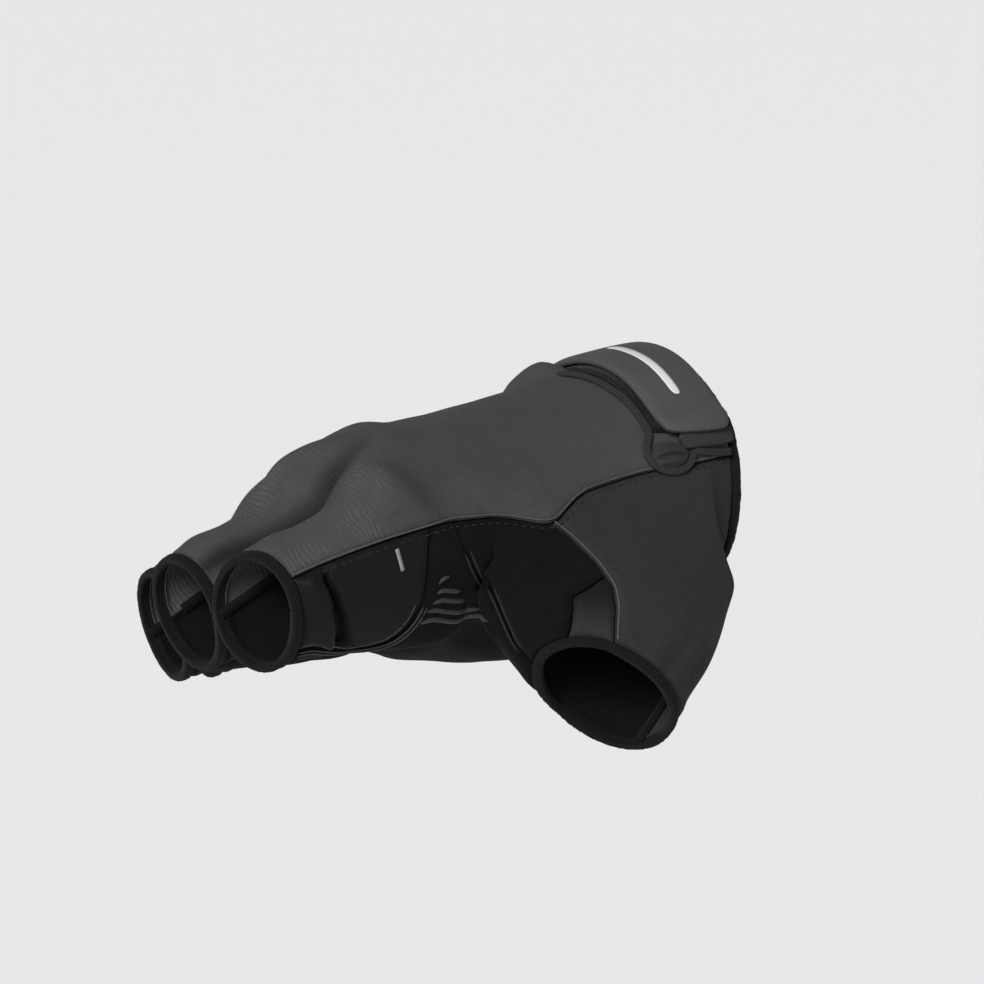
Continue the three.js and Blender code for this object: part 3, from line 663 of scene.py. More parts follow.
def ridged_knit_height(material):
    """The knit, and over the fingers and knuckles ridges across the finger, in drifting patches."""
    straight = node(material, "Math", (place_in_cloth(material)[1], RIDGE_PITCH), operation="DIVIDE")
    drift = soft_patches(material, DRIFT_PATCH)
    turns = node(material, "Math", (drift, RIDGE_DRIFT, straight), operation="MULTIPLY_ADD")
    x = node(material, "SeparateXYZ", [object_place(material)])
    fingers = node(material, "MapRange", {
        "Value": x, "From Min": RIDGES_FROM_X / 1000, "From Max": RIDGES_FULL_X / 1000,
        "To Min": 0.0, "To Max": 1.0})
    patches = node(material, "MapRange", {
        "Value": soft_patches(material, DRIFT_PATCH, detail=1.0), "From Min": 0.42, "From Max": 0.62,
        "To Min": 0.05, "To Max": 0.8})
    amount = node(material, "Math", (fingers, patches), operation="MULTIPLY")
    ridge = node(material, "Math", (even_ribs(material, turns), amount), operation="MULTIPLY")
    knit = knit_height(material, KNIT_WALE, KNIT_COURSE, 0.55)
    return node(material, "Math", (knit, 0.55, ridge), operation="MULTIPLY_ADD")


# Grey stretch jersey, its stitches drawn coarser than real so that they show: matt, ridged where pulled.
back_knit = cloth_material("grey_stretch_jersey_knit", "#434445", ridged_knit_height, 0.11, dark=0.72)
back = cut_panel(back_seam)
x, y, z = back["p"].T
back["c"] = np.column_stack([y, x + GRAIN_LEAN * z, x * 0])
far = (y - ARCH["y"]) / ARCH["half_length"]
arch_lift = ARCH["height"] * soft_bump(x, ARCH["x"], ARCH["half_width"]) * np.exp(-far ** 4)
# The valley is a dip in the cloth, and its depth is also painted into the colour as shade.
valley = VALLEY_DEPTH * soft_bump(y, interpolated(VALLEY, x), VALLEY_WIDTH)
valley *= np.clip((VALLEY_START_X - x) / VALLEY_RUN, 0, 1)
add_panel("back_cloth", back, KNIT_WALL, back_knit, "back_panel",
                   extra=arch_lift - valley)

# The thumb side: a plainer, darker stretch knit from the wrist down the outside of the thumb.
# It is set in with an overlocked seam, and pulls into slight slanting folds above the thumb's hem, with faint
# painted shade in their troughs.
THUMB_SEAM = ((-36, -47), (-26.5, -44.7), (-20, -42.9), (-16.1, -42.6), (-11, -45.3), (-5.2, -49.9),
              (-3, -52.5))
THENAR_SEAM = ((-45, -41), (-31.5, -40), (-20, -36), (-9, -31), (3, -25))
THENAR_TURN = {"z": -14, "slope": 0.8}
THUMB_FOLDS = {"pitch": 7.5, "height": 0.3, "z": -34.0, "spread": 9.0, "way": (-0.55, 0, 0.83)}
THUMB_SIDE_LEVEL = (0.88, 0.47, 0)


def side_on(cloth):
    """Lays the cloth's grain level on the thumb side, which faces away from the other fingers."""
    along = cloth["p"] @ np.array(THUMB_SIDE_LEVEL)
    return {**cloth, "c": np.column_stack([along, cloth["p"][:, 2], along * 0])}


def thumb_field(p):
    """How far inside the thumb side's edges a place is."""
    swing = np.maximum(0, p[:, 2] - THENAR_TURN["z"]) * THENAR_TURN["slope"]
    return np.minimum(p[:, 0] - interpolated(THUMB_SEAM, p[:, 2]),
                      interpolated(THENAR_SEAM, p[:, 0]) + swing - p[:, 1])


def plain_knit_height(wale, course=KNIT_COURSE):
    return lambda material: knit_height(material, wale, course, 0.5)


# The same jersey dyed charcoal: matt and darker, its stitches only just to be seen.
thumb_knit = cloth_material("charcoal_stretch_jersey_knit", "#2b2c2d", plain_knit_height(KNIT_WALE), 0.05,
                            dark=0.82)
thumb = side_on(cut_panel(thumb_field))
fold_phase = (thumb["p"] @ np.array(THUMB_FOLDS["way"])) / THUMB_FOLDS["pitch"] * 2 * math.pi
near_hem = soft_bump(thumb["p"][:, 2], THUMB_FOLDS["z"], THUMB_FOLDS["spread"])
add_panel("thumb_cloth", thumb, KNIT_WALL, thumb_knit, "thumb_panel",
                   extra=THUMB_FOLDS["height"] * np.sin(fold_phase) * near_hem)

# The web between thumb and index finger: dark brushed microfibre, and a grey knit patch at the thumb's hem.
# Both are sewn to the thumb side, and the microfibre rolls over the web into the palm.
WEB_SEAM = ((-24.4, -61.9), (-16.7, -66), (-10.8, -70.9), (-5.6, -73.6), (1, -76))
WEB_CREST_Y = ((-33, -34), (-12, -33), (0, -32))
INNER_SEAM = ((-37, -50.2), (-31, -51.6), (-25.9, -52.7), (-17.5, -51.7))
INNER_TOP = {"x": -43.5, "z": -13.8, "slope": 0.45}
INNER_LIMIT_Y = -41
WEB_LIMIT_X = -42.4
WEB_WALL = 0.9
SUEDE_GRAIN = 0.7
PALE_UP_TO_Z, DARK_FROM_Z = -26.5, -17.5


def suede_height(material):
    return soft_patches(material, SUEDE_GRAIN, detail=4.0, rough=0.65)


def inner_field(p):
    """How far inside the inner patch's edges a place is."""
    top = INNER_TOP["z"] + (p[:, 0] - INNER_TOP["x"]) * INNER_TOP["slope"] - p[:, 2]
    return np.minimum.reduce([p[:, 0] - interpolated(INNER_SEAM, p[:, 2]), top, INNER_LIMIT_Y - p[:, 1]])


def web_field(p):
    """How far inside the web's edges a place is."""
    over = interpolated(WEB_CREST_Y, p[:, 2]) - p[:, 1]
    return np.minimum.reduce([p[:, 0] - interpolated(WEB_SEAM, p[:, 2]), over, WEB_LIMIT_X - p[:, 0]])


def painted_sheen_knit_height(material):
    """A knit whose relief, and with it a pale painted sheen, fades out towards the patch's top."""
    z = node(material, "SeparateXYZ", [object_place(material)]).node.outputs[2]
    # Painted sheen: the knit is drawn pale near the hem and fades to its dark colour towards the top, by
    # height.
    fade = node(material, "MapRange", {
        "Value": z, "From Min": PALE_UP_TO_Z / 1000, "From Max": DARK_FROM_Z / 1000,
        "To Min": 1.0, "To Max": 0.0})
    stitches = knit_height(material, KNIT_WALE, KNIT_COURSE, 0.5)
    knit = node(material, "Math", (stitches, 0.3, 0.7), operation="MULTIPLY_ADD")
    return node(material, "Math", (knit, fade), operation="MULTIPLY")


# Microfibre brushed to a suede: the darkest cloth here, soft, mottled and without shine.
microfibre = cloth_material("brushed_black_microfibre", "#101111", suede_height, 0.12, dark=0.6, patch=0.3,
                            gloss=0.05)
# Jersey again, with a painted sheen: pale grey at the hem, fading to dark towards the web.
inner_knit = cloth_material("dark_grey_inner_jersey_knit", "#303132", painted_sheen_knit_height, 0.06, dark=0.22)
inner_patch = side_on(cut_panel(inner_field))
add_panel("thumb_inner_cloth", inner_patch, KNIT_WALL, inner_knit, "thumb_inner_patch")
web_patch = side_on(cut_panel(web_field))
add_panel("web_cloth", web_patch, WEB_WALL, microfibre, "web_patch")

# The side of the index finger: a smooth synthetic leather that ends in a stitched arc near the palm.
# A sharp fold stands near the finger's hem where the finger bends, with painted shade in its crease.
INDEX_ARC = ((-118, 2.5), (-106.6, 1.5), (-98.4, -2.3), (-93, -1.8), (-89, -0.7), (-86.5, 1.5), (-84.3, 4.2),
             (-82.1, 9))
INDEX_EDGE_X = -81.8
INDEX_MIDDLE_Y = -27
LEATHER_WALL = 1.2
FOLD = ((-105.7, -8.5), (-103.9, -11.4), (-102.8, -14.4), (-101.4, -17.9), (-99.9, -23.4))
FOLD_DEPTH, FOLD_WIDTH = 3.0, 0.7
FOLD_TOP_Z, FOLD_RUN_IN = -5.5, 4
FOLD_WIDENS = {"from_z": -10, "over": 8, "most": 1.6}
FOLD_BULGE = {"height": 1.3, "behind": 3.2, "width": 2.3}
GRAINS_PER_METRE, GRAIN_CUT = 1400.0, 2.2


def arc_height(p):
    """How far a place is over the arc, up the slope of the finger's side."""
    return -0.6 * p[:, 1] + 0.8 * p[:, 2] - interpolated(INDEX_ARC, p[:, 0])


def index_field(p):
    """How far inside the index side panel's edges a place is."""
    return np.minimum.reduce([arc_height(p), INDEX_EDGE_X - p[:, 0], INDEX_MIDDLE_Y - p[:, 1]])


def grain_height(material):
    """Small pebbles with fine cracks between them, as pressed into synthetic leather."""
    settings = {"Vector": object_place(material), "Scale": GRAINS_PER_METRE}
    pebbles = node(material, "TexVoronoi", settings, feature="DISTANCE_TO_EDGE")
    return node(material, "Math", (pebbles, GRAIN_CUT), operation="MULTIPLY")


# Thin synthetic leather: near black, smoother than the cloths, with a faint broad shine.
leather = cloth_material("smooth_black_synthetic_leather", "#101112", grain_height, 0.05, dark=0.8, patch=0.2,
                         fuzz=0.1, rough=0.6)
index_side = side_on(cut_panel(index_field))
x, _, z = index_side["p"].T
fold_line = np.array(FOLD)
fold_d = x - np.interp(z, fold_line[::-1, 1], fold_line[::-1, 0])
bulge = FOLD_BULGE["height"] * soft_bump(fold_d, -FOLD_BULGE["behind"], FOLD_BULGE["width"])
widening = np.clip((FOLD_WIDENS["from_z"] - z) / FOLD_WIDENS["over"], 0, FOLD_WIDENS["most"])
# The crease is a dip in the cloth, and its depth is also painted into the colour as shade.
crease = FOLD_DEPTH * soft_bump(fold_d, 0, FOLD_WIDTH * (1 + widening))
fold_lift = (bulge - crease) * np.clip((FOLD_TOP_Z - z) / FOLD_RUN_IN, 0, 1)
add_panel("index_side_cloth", index_side, LEATHER_WALL, leather, "index_side_panel",
                   extra=fold_lift)

# The palm: the same brushed microfibre, from the wrist to the undersides of the fingers and up to the web.
# It is what is left of the form once the other panels are cut, so its edges meet theirs all round.
add_panel("palm_cloth", FREE_CLOTH, LEATHER_WALL, microfibre, "palm_panel")

# Seams: the panels' edges are overlocked together inside and pressed flat, so thread backs each groove.
# The upper panel's edge shows as a thin light line, and small topstitches run beside the long seams.
SEAM_TAPE = {"half_width": 1.1, "half_thick": 0.12, "depth": 1.65}
SEAM_EDGE = {"half_width": 0.24, "height": 0.16, "depth": 0.12, "outward": 0.42}
WEB_CORD = {"half_width": 0.26, "height": 0.2, "depth": 0.1, "outward": 0.6, "inward": 0.7, "taper": 1.5}
STITCH = {"pitch": 2.0, "length": 1.35, "radius": 0.15, "inward": 1.5, "depth": 0.05}
STITCH_CURVE = [dict(zip(("along", "rise", "size"), row)) for row in (
    (0, -0.25, 0.6), (0.2, 0, 1), (0.5, 0.05, 1), (0.8, 0, 1), (1, -0.25, 0.6),
)]
LINE_STEP, PROFILE_STEP = 0.4, 0.3
LONG_SEAM_POINTS = 100
SEAM_TOLERANCE = 0.4
WEB_TURN_POINTS = 9
WEB_SEAM_TOP_Z = -3
TAPE_END = 4.0
SURFACE_TREE = BVHTree.FromPolygons(SURFACE["p"].tolist(), SURFACE["quads"].tolist())


def smooth_line(points, times=2):
    for _ in range(times):
        points = np.vstack([points[:1], (points[:-2] + 2 * points[1:-1] + points[2:]) / 4, points[-1:]])
    return points


def resampled(points, step):
    lengths = np.concatenate([[0], np.cumsum(np.linalg.norm(np.diff(points, axis=0), axis=1))])
    places = np.linspace(0, lengths[-1], max(3, int(lengths[-1] / step) + 1))
    return np.column_stack([np.interp(places, lengths, points[:, k]) for k in range(3)])


def curved(points, step=LINE_STEP):
    """A smooth line through a few points."""
    points = np.array(points, float)
    ends = np.vstack([2 * points[0] - points[1], points, 2 * points[-1] - points[-2]])
    out = []
    for a, b, c, d in zip(ends, ends[1:], ends[2:], ends[3:]):
        bend, twist = 2 * a - 5 * b + 4 * c - d, 3 * b - a - 3 * c + d
        for t in np.linspace(0, 1, 24, endpoint=False):
            out.append(0.5 * (2 * b + (c - a) * t + bend * t * t + twist * t ** 3))
    return resampled(np.array(out + [points[-1]]), step)


def path_on_cloth(points, sideways, lift):
    """A line laid on the worn form: its places, normals, sides and lengths."""
    found = [SURFACE_TREE.find_nearest(Vector(p)) for p in points]
    normals = smooth_line(np.array([f[1] for f in found]), 6)
    normals /= np.linalg.norm(normals, axis=1)[:, None]
    path = smooth_line(np.array([f[0] for f in found]), 3)
    ways = np.gradient(path, axis=0)
    ways /= np.linalg.norm(ways, axis=1)[:, None]
    sides = np.cross(ways, normals)
    sides /= np.linalg.norm(sides, axis=1)[:, None]
    lengths = np.concatenate([[0], np.cumsum(np.linalg.norm(np.diff(path, axis=0), axis=1))])
    return path + sides * sideways + normals * lift, normals, sides, lengths


def tube_faces(start, rings, around):
    """The faces of a closed tube whose points come ring by ring."""
    faces = []
    for i in range(rings - 1):
        a, b = start + i * around, start + (i + 1) * around
        faces += [(a + k, a + (k + 1) % around, b + (k + 1) % around, b + k) for k in range(around)]
    last = start + (rings - 1) * around
    return faces + [tuple(reversed(range(start, start + around))), tuple(range(last, last + around))]


def laid_strip(name, points, profile, lift, material, sideways=0.0, taper=0.0, node=None):
    """A strip with a (side, up) profile, laid along a line on the cloth."""
    path, normals, sides, lengths = path_on_cloth(points, sideways, lift)
    size = np.ones(len(path))
    if taper:
        size = np.sqrt(np.clip(np.minimum(lengths, lengths[-1] - lengths) / taper, 0.02, 1))
    rings, cloth = [], []
    for k, (side, up) in enumerate(profile):
        rings.append(path + sides * (side * size)[:, None] + normals * (up * size)[:, None])
        cloth.append(np.column_stack([lengths, np.full(len(path), k * PROFILE_STEP), lengths * 0]))
    mesh = finished_mesh(name, np.stack(rings, 1).reshape(-1, 3), tube_faces(0, len(path), len(profile)),
                         np.stack(cloth, 1).reshape(-1, 3))
    return add_piece(name, mesh, material, node)


def round_profile(half_width, height, corners=10):
    turns = [math.radians(360 / corners * (k + 0.5)) for k in range(corners)]
    return [(half_width * math.cos(a), height * math.sin(a)) for a in turns]


def stitch_row(name, points, sideways, lift, material):
    """Short threads in a row, each sinking into the cloth at its ends."""
    path, normals, sides, lengths = path_on_cloth(points, sideways, lift)
    turns = [math.radians(60 * k) for k in range(6)]
    out, faces, cloth = [], [], []
    for k in range(int(lengths[-1] / STITCH["pitch"])):
        start = len(out)
        for part in STITCH_CURVE:
            place = k * STITCH["pitch"] + part["along"] * STITCH["length"]
            i = min(int(np.searchsorted(lengths, place)), len(path) - 1)
            before = max(i - 1, 0)
            t = (place - lengths[before]) / max(lengths[i] - lengths[before], 1e-6)
            centre = lerp(path[before], path[i], t) + normals[i] * part["rise"]
            for a in turns:
                offset = (sides[i] * math.cos(a) + normals[i] * math.sin(a)) * STITCH["radius"] * part["size"]
                out.append(centre + offset)
                cloth.append((place, 0, 0))
        faces += tube_faces(start, len(STITCH_CURVE), len(turns))
    return add_piece(name, finished_mesh(name, out, faces, cloth), material)


def seam_lines(cloth, on_seam, shortest=8.0):
    """The stretches of a panel's border where on_seam says yes."""
    wanted = on_seam(cloth["p"])
    lines = []
    for chain in chains(open_edges(cloth)):
        run = []
        for i in [*chain, None]:
            if i is not None and wanted[i]:
                run.append(i)
                continue
            line = cloth["p"][run] if len(run) > 5 else np.zeros((2, 3))
            if np.linalg.norm(np.diff(line, axis=0), axis=1).sum() > shortest:
                lines.append(resampled(smooth_line(line, 8), LINE_STEP))
            run = []
    return lines


RIM_POINTS = np.vstack([SURFACE["p"][rim] for rim in RIMS.values()])
WEB_SIDES = np.abs([web_patch["p"][:, 0] - interpolated(WEB_SEAM, web_patch["p"][:, 2]),
                    web_patch["p"][:, 1] - interpolated(WEB_CREST_Y, web_patch["p"][:, 2])])
WEB_CORNER = web_patch["p"][[np.argmin(WEB_SIDES.sum(0))]]


def off_the_hems(p):
    return distance_to(p, RIM_POINTS, HEM_REACH)[0] > HEM_WIDTH + 0.4


def taped(p):
    """Where tape backs a seam: up to the hems, but not into the fold at the web's inner corner."""
    return off_the_hems(p) & (distance_to(p, WEB_CORNER, TAPE_END)[0] > TAPE_END - 0.01)


def under_the_hems(line, by=2.0):
    """A line carried straight on at each end that meets a hem."""
    at_hem = distance_to(line[[0, -1]], RIM_POINTS, HEM_REACH)[0] < HEM_WIDTH + 1.5
    for end, inner, wanted in ((0, 4, at_hem[0]), (-1, -5, at_hem[1])):
        way = line[end] - line[inner]
        more = [line[end] + way / np.linalg.norm(way) * by]
        line = np.vstack(([more, line] if end == 0 else [line, more]) if wanted else [line])
    return resampled(line, LINE_STEP)


def flat_profile(half_width, low, high):
    return [(-half_width, low), (-half_width, high), (half_width, high), (half_width, low)]


# Black overlock thread deep in the seams: nearly lost in shadow, with slanting ridges.
seam_tape = cloth_material("black_overlock_thread_tape", "#101112", overlock_height(0.5, 0.6), 0.08,
                           dark=0.75, fuzz=0.3)
tape_profile = flat_profile(SEAM_TAPE["half_width"], -SEAM_TAPE["half_thick"], SEAM_TAPE["half_thick"])
panels = {"back": back, "thumb": thumb, "inner": inner_patch, "web": web_patch, "index": index_side}
for panel_name, panel in panels.items():
    for i, line in enumerate(seam_lines(panel, taped)):
        laid_strip(f"{panel_name}_seam_tape_{i}", under_the_hems(line), tape_profile, -SEAM_TAPE["depth"],
                   seam_tape)


def on_back_seam(p):
    return (np.abs(back_seam(p)) < SEAM_TOLERANCE) & off_the_hems(p)


def on_thumb_seam(p):
    return (np.abs(p[:, 0] - interpolated(THUMB_SEAM, p[:, 2])) < SEAM_TOLERANCE) & off_the_hems(p)


def on_web_edge(p):
    to_seam = np.abs(p[:, 0] - interpolated(WEB_SEAM, p[:, 2]))
    to_crest = np.abs(interpolated(WEB_CREST_Y, p[:, 2]) - p[:, 1])
    near = np.minimum(to_seam, to_crest) < SEAM_TOLERANCE
    return near & off_the_hems(p) & (p[:, 2] < WEB_SEAM_TOP_Z)


# The turned edge of the grey knit: the lightest line on the glove, roughened by its threads.
seam_edge = cloth_material("grey_overlocked_seam_edge", "#4a4b4d", overlock_height(0.7, 0.3), 0.08, dark=0.7,
                           fuzz=0.45)
# Twisted polyester thread: dark, with a fine twist.
thread = cloth_material("charcoal_polyester_sewing_thread", "#242526", overlock_height(0.3, 1.0), 0.03,
                        dark=0.7)
edge_profile = round_profile(SEAM_EDGE["half_width"], SEAM_EDGE["height"])
for panel_name, panel, on_seam in (("back", back, on_back_seam), ("thumb", thumb, on_thumb_seam)):
    for i, line in enumerate(seam_lines(panel, on_seam)):
        laid_strip(f"{panel_name}_seam_edge_{i}", line, edge_profile, -SEAM_EDGE["depth"], seam_edge,
                   sideways=-SEAM_EDGE["outward"])
        if panel_name == "back" and len(line) > LONG_SEAM_POINTS:
            stitch_row(f"back_seam_stitches_{i}", line, STITCH["inward"], -STITCH["depth"], thread)

# The web's two raised cords: tight dark grey overlock, one on each side of the seam.
web_cord = cloth_material("dark_grey_web_seam_cord", "#2a2b2c", overlock_height(0.7, 0.3), 0.08, dark=0.6,
                          fuzz=0.4)
cord_profile = round_profile(WEB_CORD["half_width"], WEB_CORD["height"])
for i, line in enumerate(seam_lines(web_patch, on_web_edge)):
    line = smooth_line(line[WEB_TURN_POINTS:-WEB_TURN_POINTS], 30)
    for cord_name, sideways in (("edge", -WEB_CORD["outward"]), ("cord", WEB_CORD["inward"])):
        laid_strip(f"web_seam_{cord_name}_{i}", line, cord_profile, -WEB_CORD["depth"], web_cord,
                   sideways=sideways, taper=WEB_CORD["taper"])

# The wrist closure: a smooth foam-backed strap over the back of the wrist, laid on black pile.
# The pile shows along its edges, a folded tab lies at its thumb end, and a plain bar is printed on it.
STRAP = {"wrist_edge": -4.0, "finger_edge": -19.5, "end_z": 9.3, "far_z": 3.0, "under": 1.9, "top": 3.7,
         "round": 1.1, "edge_drop": 0.55, "edge_width": 0.5, "wave": 0.12, "wave_size": 9.0}
PILE = {"wrist_edge": -5.0, "finger_edge": -20.6, "end_z": 10.2, "far_z": -1.0, "under": 0.2, "top": 1.5,
        "round": 0.3, "tufts": 0.2, "tuft_size": 0.8}
TAB = {"wrist_edge": -2.6, "finger_edge": -15.8, "low_z": 6.8, "high_z": 9.8, "under": 0.1, "top": 1.7,
       "round": 0.25, "crumple": 0.1, "crumple_size": 1.2}
SHARPNESS = 1.4
BAR = {"x": -12.0, "width": 1.9, "from_z": 14.5, "to_y": 3.0, "round": 0.5, "lift": 0.06, "thick": 0.25}


def softly(*values, round_by=1.0):
    """The smallest of several distances, with its corners rounded."""
    return -np.log(sum(np.exp(-v / round_by * SHARPNESS) for v in values)) * round_by / SHARPNESS


def band_field(p, size):
    """How far inside the edges of a band across the back of the wrist a place is."""
    end = np.where(p[:, 1] < 0, p[:, 2] - size["end_z"], p[:, 2] - size["far_z"])
    return softly(size["wrist_edge"] - p[:, 0], p[:, 0] - size["finger_edge"], end, round_by=size["round"])


def pile_height(material):
    return soft_patches(material, 0.4, detail=4.0, rough=0.7)


# Foam with a smooth jersey face pressed on: mid grey, finer and a little shinier than the knits.
neoprene = cloth_material("smooth_grey_laminated_foam", "#404143", plain_knit_height(0.35, 0.35), 0.03,
                          dark=0.9, patch=0.08, fuzz=0.08, rough=0.75, gloss=0.25)
strap = clip(SURFACE, band_field(SURFACE["p"], STRAP))
rounding = STRAP["edge_drop"] * soft_bump(border_distance(strap, 3.0), 0, STRAP["edge_width"])
strap_top = STRAP["top"] - rounding + STRAP["wave"] * unevenness(strap["p"], STRAP["wave_size"])
add_piece("strap", shell("strap", strap, strap_top, STRAP["under"] + 0.3 * rounding), neoprene,
                   "closure_strap")
# Brushed loops: black and deep, with a soft pale bloom where light grazes it.
pile_cloth = cloth_material("black_brushed_loop_pile", "#0f1011", pile_height, 0.25, dark=0.3, fuzz=0.5,
                            sheen=0.08)
pile = clip(SURFACE, band_field(SURFACE["p"], PILE))
pile_top = PILE["top"] + PILE["tufts"] * unevenness(pile["p"], PILE["tuft_size"])
add_piece("strap_underside_pile", shell("strap_underside_pile", pile, pile_top, PILE["under"]),
                   pile_cloth, "strap_pile")
# Jersey folded over the strap's end: lighter than the thumb side, with plain stitches.
tab_knit = cloth_material("grey_folded_jersey_tab", "#353638", plain_knit_height(KNIT_WALE), 0.08, dark=0.6)
x, y, z = SURFACE["p"].T
tab_field = softly(TAB["wrist_edge"] - x, x - TAB["finger_edge"], TAB["high_z"] - z, z - TAB["low_z"], -y,
                   round_by=TAB["round"])
tab = side_on(clip(SURFACE, tab_field))
tab_top = TAB["top"] + TAB["crumple"] * unevenness(tab["p"], TAB["crumple_size"])
add_piece("tab_cloth", shell("tab_cloth", tab, tab_top, TAB["under"]), tab_knit, "strap_tab")
# Plain reflective ink: a pale, flat print with a low shine, without lettering.
reflective, _ = new_material("plain_reflective_print", "#c4c5c6", 0.45, 0.5)
x, y, z = strap["p"].T
bar_field = softly(BAR["width"] / 2 - np.abs(x - BAR["x"]), z - BAR["from_z"], BAR["to_y"] - y,
                   round_by=BAR["round"])
bar = clip(strap, bar_field)
bar_top = STRAP["top"] + BAR["lift"] + STRAP["wave"] * unevenness(bar["p"], STRAP["wave_size"])
add_piece("strap_reflective_bar", shell("strap_reflective_bar", bar, bar_top, bar_top - BAR["thick"]),
          reflective)

# The wrist slit: its raw edge is bound with a folded grey tape, sewn down along its middle.
# The tape runs along the pile, round the end of the slit and out to the cuff, with gathered cloth inside.
BINDING_ROUTE = (
    (-20.5, 33.5, 4), (-21.5, 29.5, 10.5), (-22.4, 21, 15.5), (-23, 12, 18), (-23, 1, 19), (-22.2, -12, 17.8),
    (-21.2, -20, 14.3), (-21.6, -26.5, 10.6), (-24, -29.4, 7.6), (-23.8, -31.2, 5), (-21.2, -32.5, 3.2),
    (-17.6, -32.6, 2.8), (-14.6, -32, 4.2), (-13.2, -31, 6), (-10, -31, 5.7), (-6, -31, 5.3), (-3.2, -30, 5),
)
BINDING_PROFILE = [(-0.85, -0.2), (-0.8, 0.35), (-0.45, 0.62), (-0.1, 0.38), (0.1, 0.38), (0.45, 0.62),
                   (0.8, 0.35), (0.85, -0.2), (0.3, -0.4), (-0.3, -0.4)]
BINDING_LIFT = 0.55
GATHER = {"x": -19.4, "y": -31.0, "z": 6.0, "length": 4.6, "height": 3.0, "lift": 0.4, "rise": 2.1,
          "folds": 8, "rings": 14, "around": 84}
# Folded jersey tape: dark grey with close slanting threads.
binding = cloth_material("grey_folded_slit_binding", "#303032", overlock_height(0.5, 0.4), 0.1, dark=0.6,
                         fuzz=0.45)
laid_strip("slit_binding", curved(BINDING_ROUTE), BINDING_PROFILE, BINDING_LIFT, binding, node="slit_piping")

place = np.array([[GATHER["x"] + k * 0.2, GATHER["y"], GATHER["z"]] for k in range(3)])
path, normals, _, _ = path_on_cloth(place, 0, 0)
seat, normal = path[1], normals[1]
level = np.cross([0, 0, 1], normal)
level /= np.linalg.norm(level)
upward = np.cross(normal, level)
rings, around = GATHER["rings"], GATHER["around"]
dome = [seat + normal * (GATHER["lift"] + GATHER["rise"])]
for i in range(1, rings + 1):
    r = i / rings
    for k in range(around):
        a = 2 * math.pi * k / around
        over_folds = r * math.sin(a) + 0.25 * (r * math.cos(a)) ** 2
        pucker = 0.3 * math.sin(GATHER["folds"] * over_folds) * (1 - r ** 4)
        up = GATHER["rise"] * (math.sqrt(max(0, 1 - r * r)) * (1 + 0.5 * pucker) + pucker * 0.6)
        flat = level * math.cos(a) * GATHER["length"] * r + upward * math.sin(a) * GATHER["height"] * r
        dome.append(seat + flat * (1 + 0.2 * pucker) + normal * (GATHER["lift"] + up))
dome_faces = [(0, 1 + k, 1 + (k + 1) % around) for k in range(around)]
for i in range(rings - 1):
    a, b = 1 + i * around, 1 + (i + 1) * around
    dome_faces += [(a + k, b + k, b + (k + 1) % around, a + (k + 1) % around) for k in range(around)]
last = 1 + (rings - 1) * around
dome_faces.append(tuple(reversed(range(last, last + around))))
dome = np.array(dome)
dome_cloth = np.column_stack([dome @ level, dome @ upward, dome[:, 0] * 0])
add_piece("gathered_cloth", finished_mesh("gathered_cloth", dome, dome_faces, dome_cloth), tab_knit,
          "strap_gather")

# Rubbery lines: raised grip strokes on the palm beside the web, and thin lines round the index panel's arc.
# They are printed on the cloth as thick silicone that keeps its round top.
GRIPS = (
    ((-82.4, -34.2, -21.2), (-79.8, -34, -20.7), (-77.2, -33.7, -21.3), (-73, -33.2, -22.6),
     (-69, -32.9, -22.9), (-64.8, -32.6, -23.8)),
    ((-81.1, -35.1, -18.9), (-79, -34.8, -18.7), (-76.9, -34.5, -19.4), (-72.5, -34, -20.6),
     (-68, -33.5, -21.3)),
    ((-79.9, -35.5, -17.2), (-77.5, -35.3, -16.7), (-75.1, -35, -17.4), (-70.5, -34.6, -18.4)),
    ((-79.2, -36, -15.3), (-77.8, -36.1, -14.6), (-72.9, -35.3, -15.7)),
    ((-79, -36.6, -13.1), (-78, -36.8, -12), (-76.3, -36.8, -11.6)),
)
GRIP = {"half_width": 0.55, "height": 0.35, "lift": 0.05, "taper": 1.5}
ARC_LINE = {"half_width": 0.22, "height": 0.16, "taper": 1, "sideways": (-1.5, 0.7, 1.7)}
SMEAR = {"size": 0.8, "depth": 0.06}


def on_index_arc(p):
    return (np.abs(arc_height(p)) < SEAM_TOLERANCE) & off_the_hems(p)


# Printed silicone: dark, smooth and a little uneven, with a small soft highlight.
rubber, rubber_shader = new_material("printed_silicone_rubber", "#292a2b", 0.5, 0.2)
smears = node(rubber, "Bump", {
    "Height": soft_patches(rubber, SMEAR["size"]), "Strength": 1.0, "Distance": SMEAR["depth"] / 1000})
rubber.node_tree.links.new(smears, rubber_shader.inputs["Normal"])
grip_profile = round_profile(GRIP["half_width"], GRIP["height"])
for i, line in enumerate(GRIPS):
    laid_strip(f"grip_line_{i}", curved(line), grip_profile, GRIP["lift"], rubber, taper=GRIP["taper"])
line_profile = round_profile(ARC_LINE["half_width"], ARC_LINE["height"])
for i, line in enumerate(seam_lines(index_side, on_index_arc)):
    for k, sideways in enumerate(ARC_LINE["sideways"]):
        laid_strip(f"index_arc_line_{i}_{k}", line, line_profile, 0.0, rubber, sideways=sideways,
                   taper=ARC_LINE["taper"])

# The tag on the index panel: a short piece of narrow woven tape, folded small and sewn flat.
# It is plain, and catches the light beside the dark leather.
TAG = {"top": (-89.8, -38.3, -3.9), "foot": (-88.2, -37.8, -8.7), "half_width": 0.42, "thick": 0.2,
       "lift": 0.12}
# Woven metallic yarn: silver grey with straight cross threads and a satin shine.
silver = cloth_material("woven_silver_tape", "#828384", overlock_height(0.4, 0.0), 0.04, dark=0.8, rough=0.5,
                        gloss=0.4)
laid_strip("woven_tag", curved((TAG["top"], TAG["foot"])), flat_profile(TAG["half_width"], 0, TAG["thick"]),
           TAG["lift"], silver, node="side_tag")

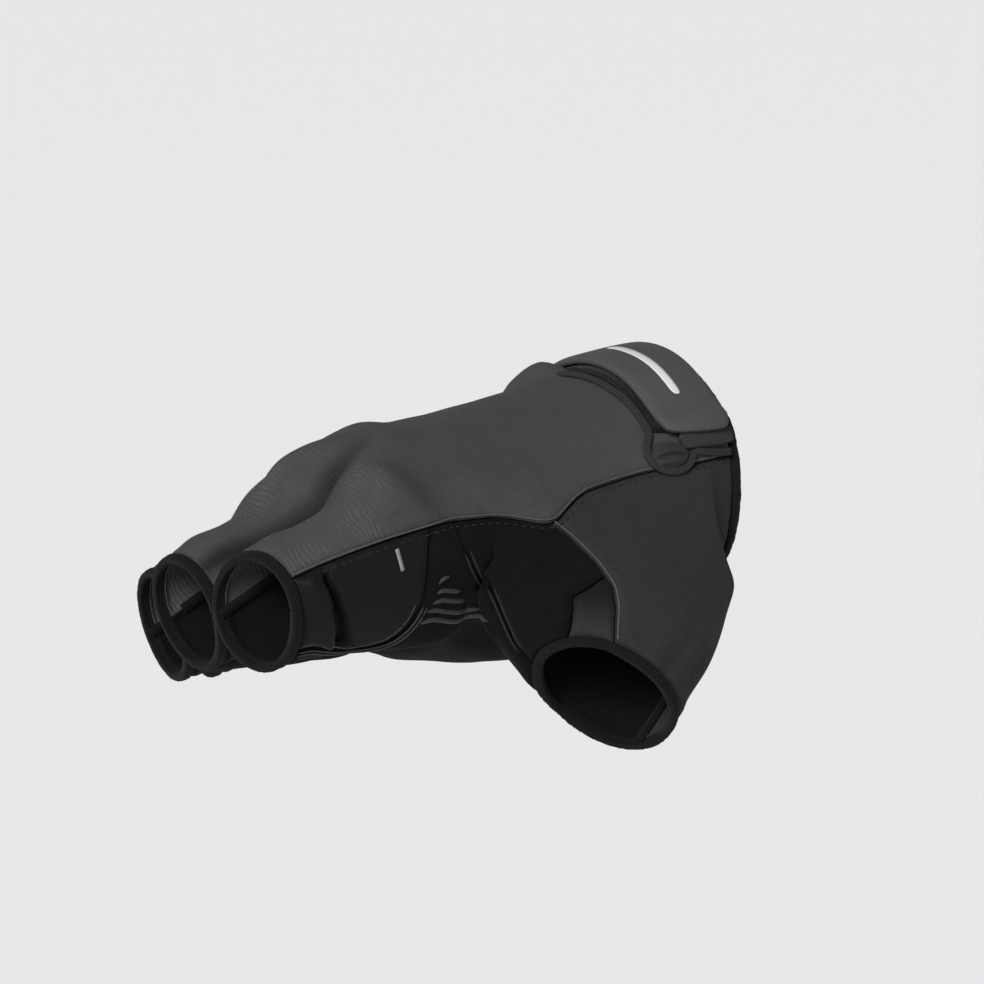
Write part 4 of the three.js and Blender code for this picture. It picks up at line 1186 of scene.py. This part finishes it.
# The studio: one broad soft lamp high on the left, an even pale surround, a floor and the camera.
# The surround is pale at the horizon, so that the floor meets it without a line, and darker above.
CAMERA = {"azimuth": -30.6, "elevation": 13.0, "lens": 135.0, "distance": 0.823, "right": 0.0384, "up": 0.010}
azimuth, elevation = math.radians(CAMERA["azimuth"]), math.radians(CAMERA["elevation"])
toward = Vector((math.sin(azimuth) * math.cos(elevation), -math.cos(azimuth) * math.cos(elevation),
                 math.sin(elevation)))
right = Vector((math.cos(azimuth), math.sin(azimuth), 0))
above = toward.cross(right)
camera = bpy.data.objects.new("camera", bpy.data.cameras.new("camera"))
camera.data.lens = CAMERA["lens"]
camera.data.clip_end = 100
camera.matrix_world = (
    Matrix.Translation(toward * CAMERA["distance"] - right * CAMERA["right"] - above * CAMERA["up"])
    @ toward.to_track_quat("Z", "Y").to_matrix().to_4x4())
bpy.context.scene.collection.objects.link(camera)
bpy.context.scene.camera = camera
bpy.context.scene.view_settings.view_transform = "Standard"

FLOOR_HALF, FLOOR_Z = 40, -1.0
corners = [(x * FLOOR_HALF, y * FLOOR_HALF, 0) for x, y in ((-1, -1), (1, -1), (1, 1), (-1, 1))]
floor = bpy.data.objects.new("floor", new_mesh("floor", corners, [(0, 1, 2, 3)]))
floor.location.z = FLOOR_Z
bpy.context.scene.collection.objects.link(floor)
floor_paint, _ = new_material("pale_studio_floor", "#f0f0f0", 0.9, 0.2)
floor.data.materials.append(floor_paint)

SURROUND = {"From Min": 0.12, "From Max": 0.4, "To Min": 0.91, "To Max": 0.25}
world = bpy.data.worlds.new("studio")
bpy.context.scene.world = world
world.use_nodes = True
background = world.node_tree.nodes["Background"]
background.inputs["Color"].default_value = colour("#f2f2f2")
way = node(world, "TexCoord").node.outputs["Generated"]
height = node(world, "SeparateXYZ", [way]).node.outputs[2]
height = node(world, "Math", (height,), operation="ABSOLUTE")
surround = node(world, "MapRange", {"Value": height, **SURROUND})
world.node_tree.links.new(surround, background.inputs["Strength"])
KEY = {"from": (-0.85, -0.62, 0.68), "strength": 3.85, "spread": 26}
key = bpy.data.objects.new("key", bpy.data.lights.new("key", "SUN"))
key.data.energy = KEY["strength"]
key.data.angle = math.radians(KEY["spread"])
key.rotation_euler = Vector(KEY["from"]).to_track_quat("Z", "Y").to_euler()
bpy.context.scene.collection.objects.link(key)
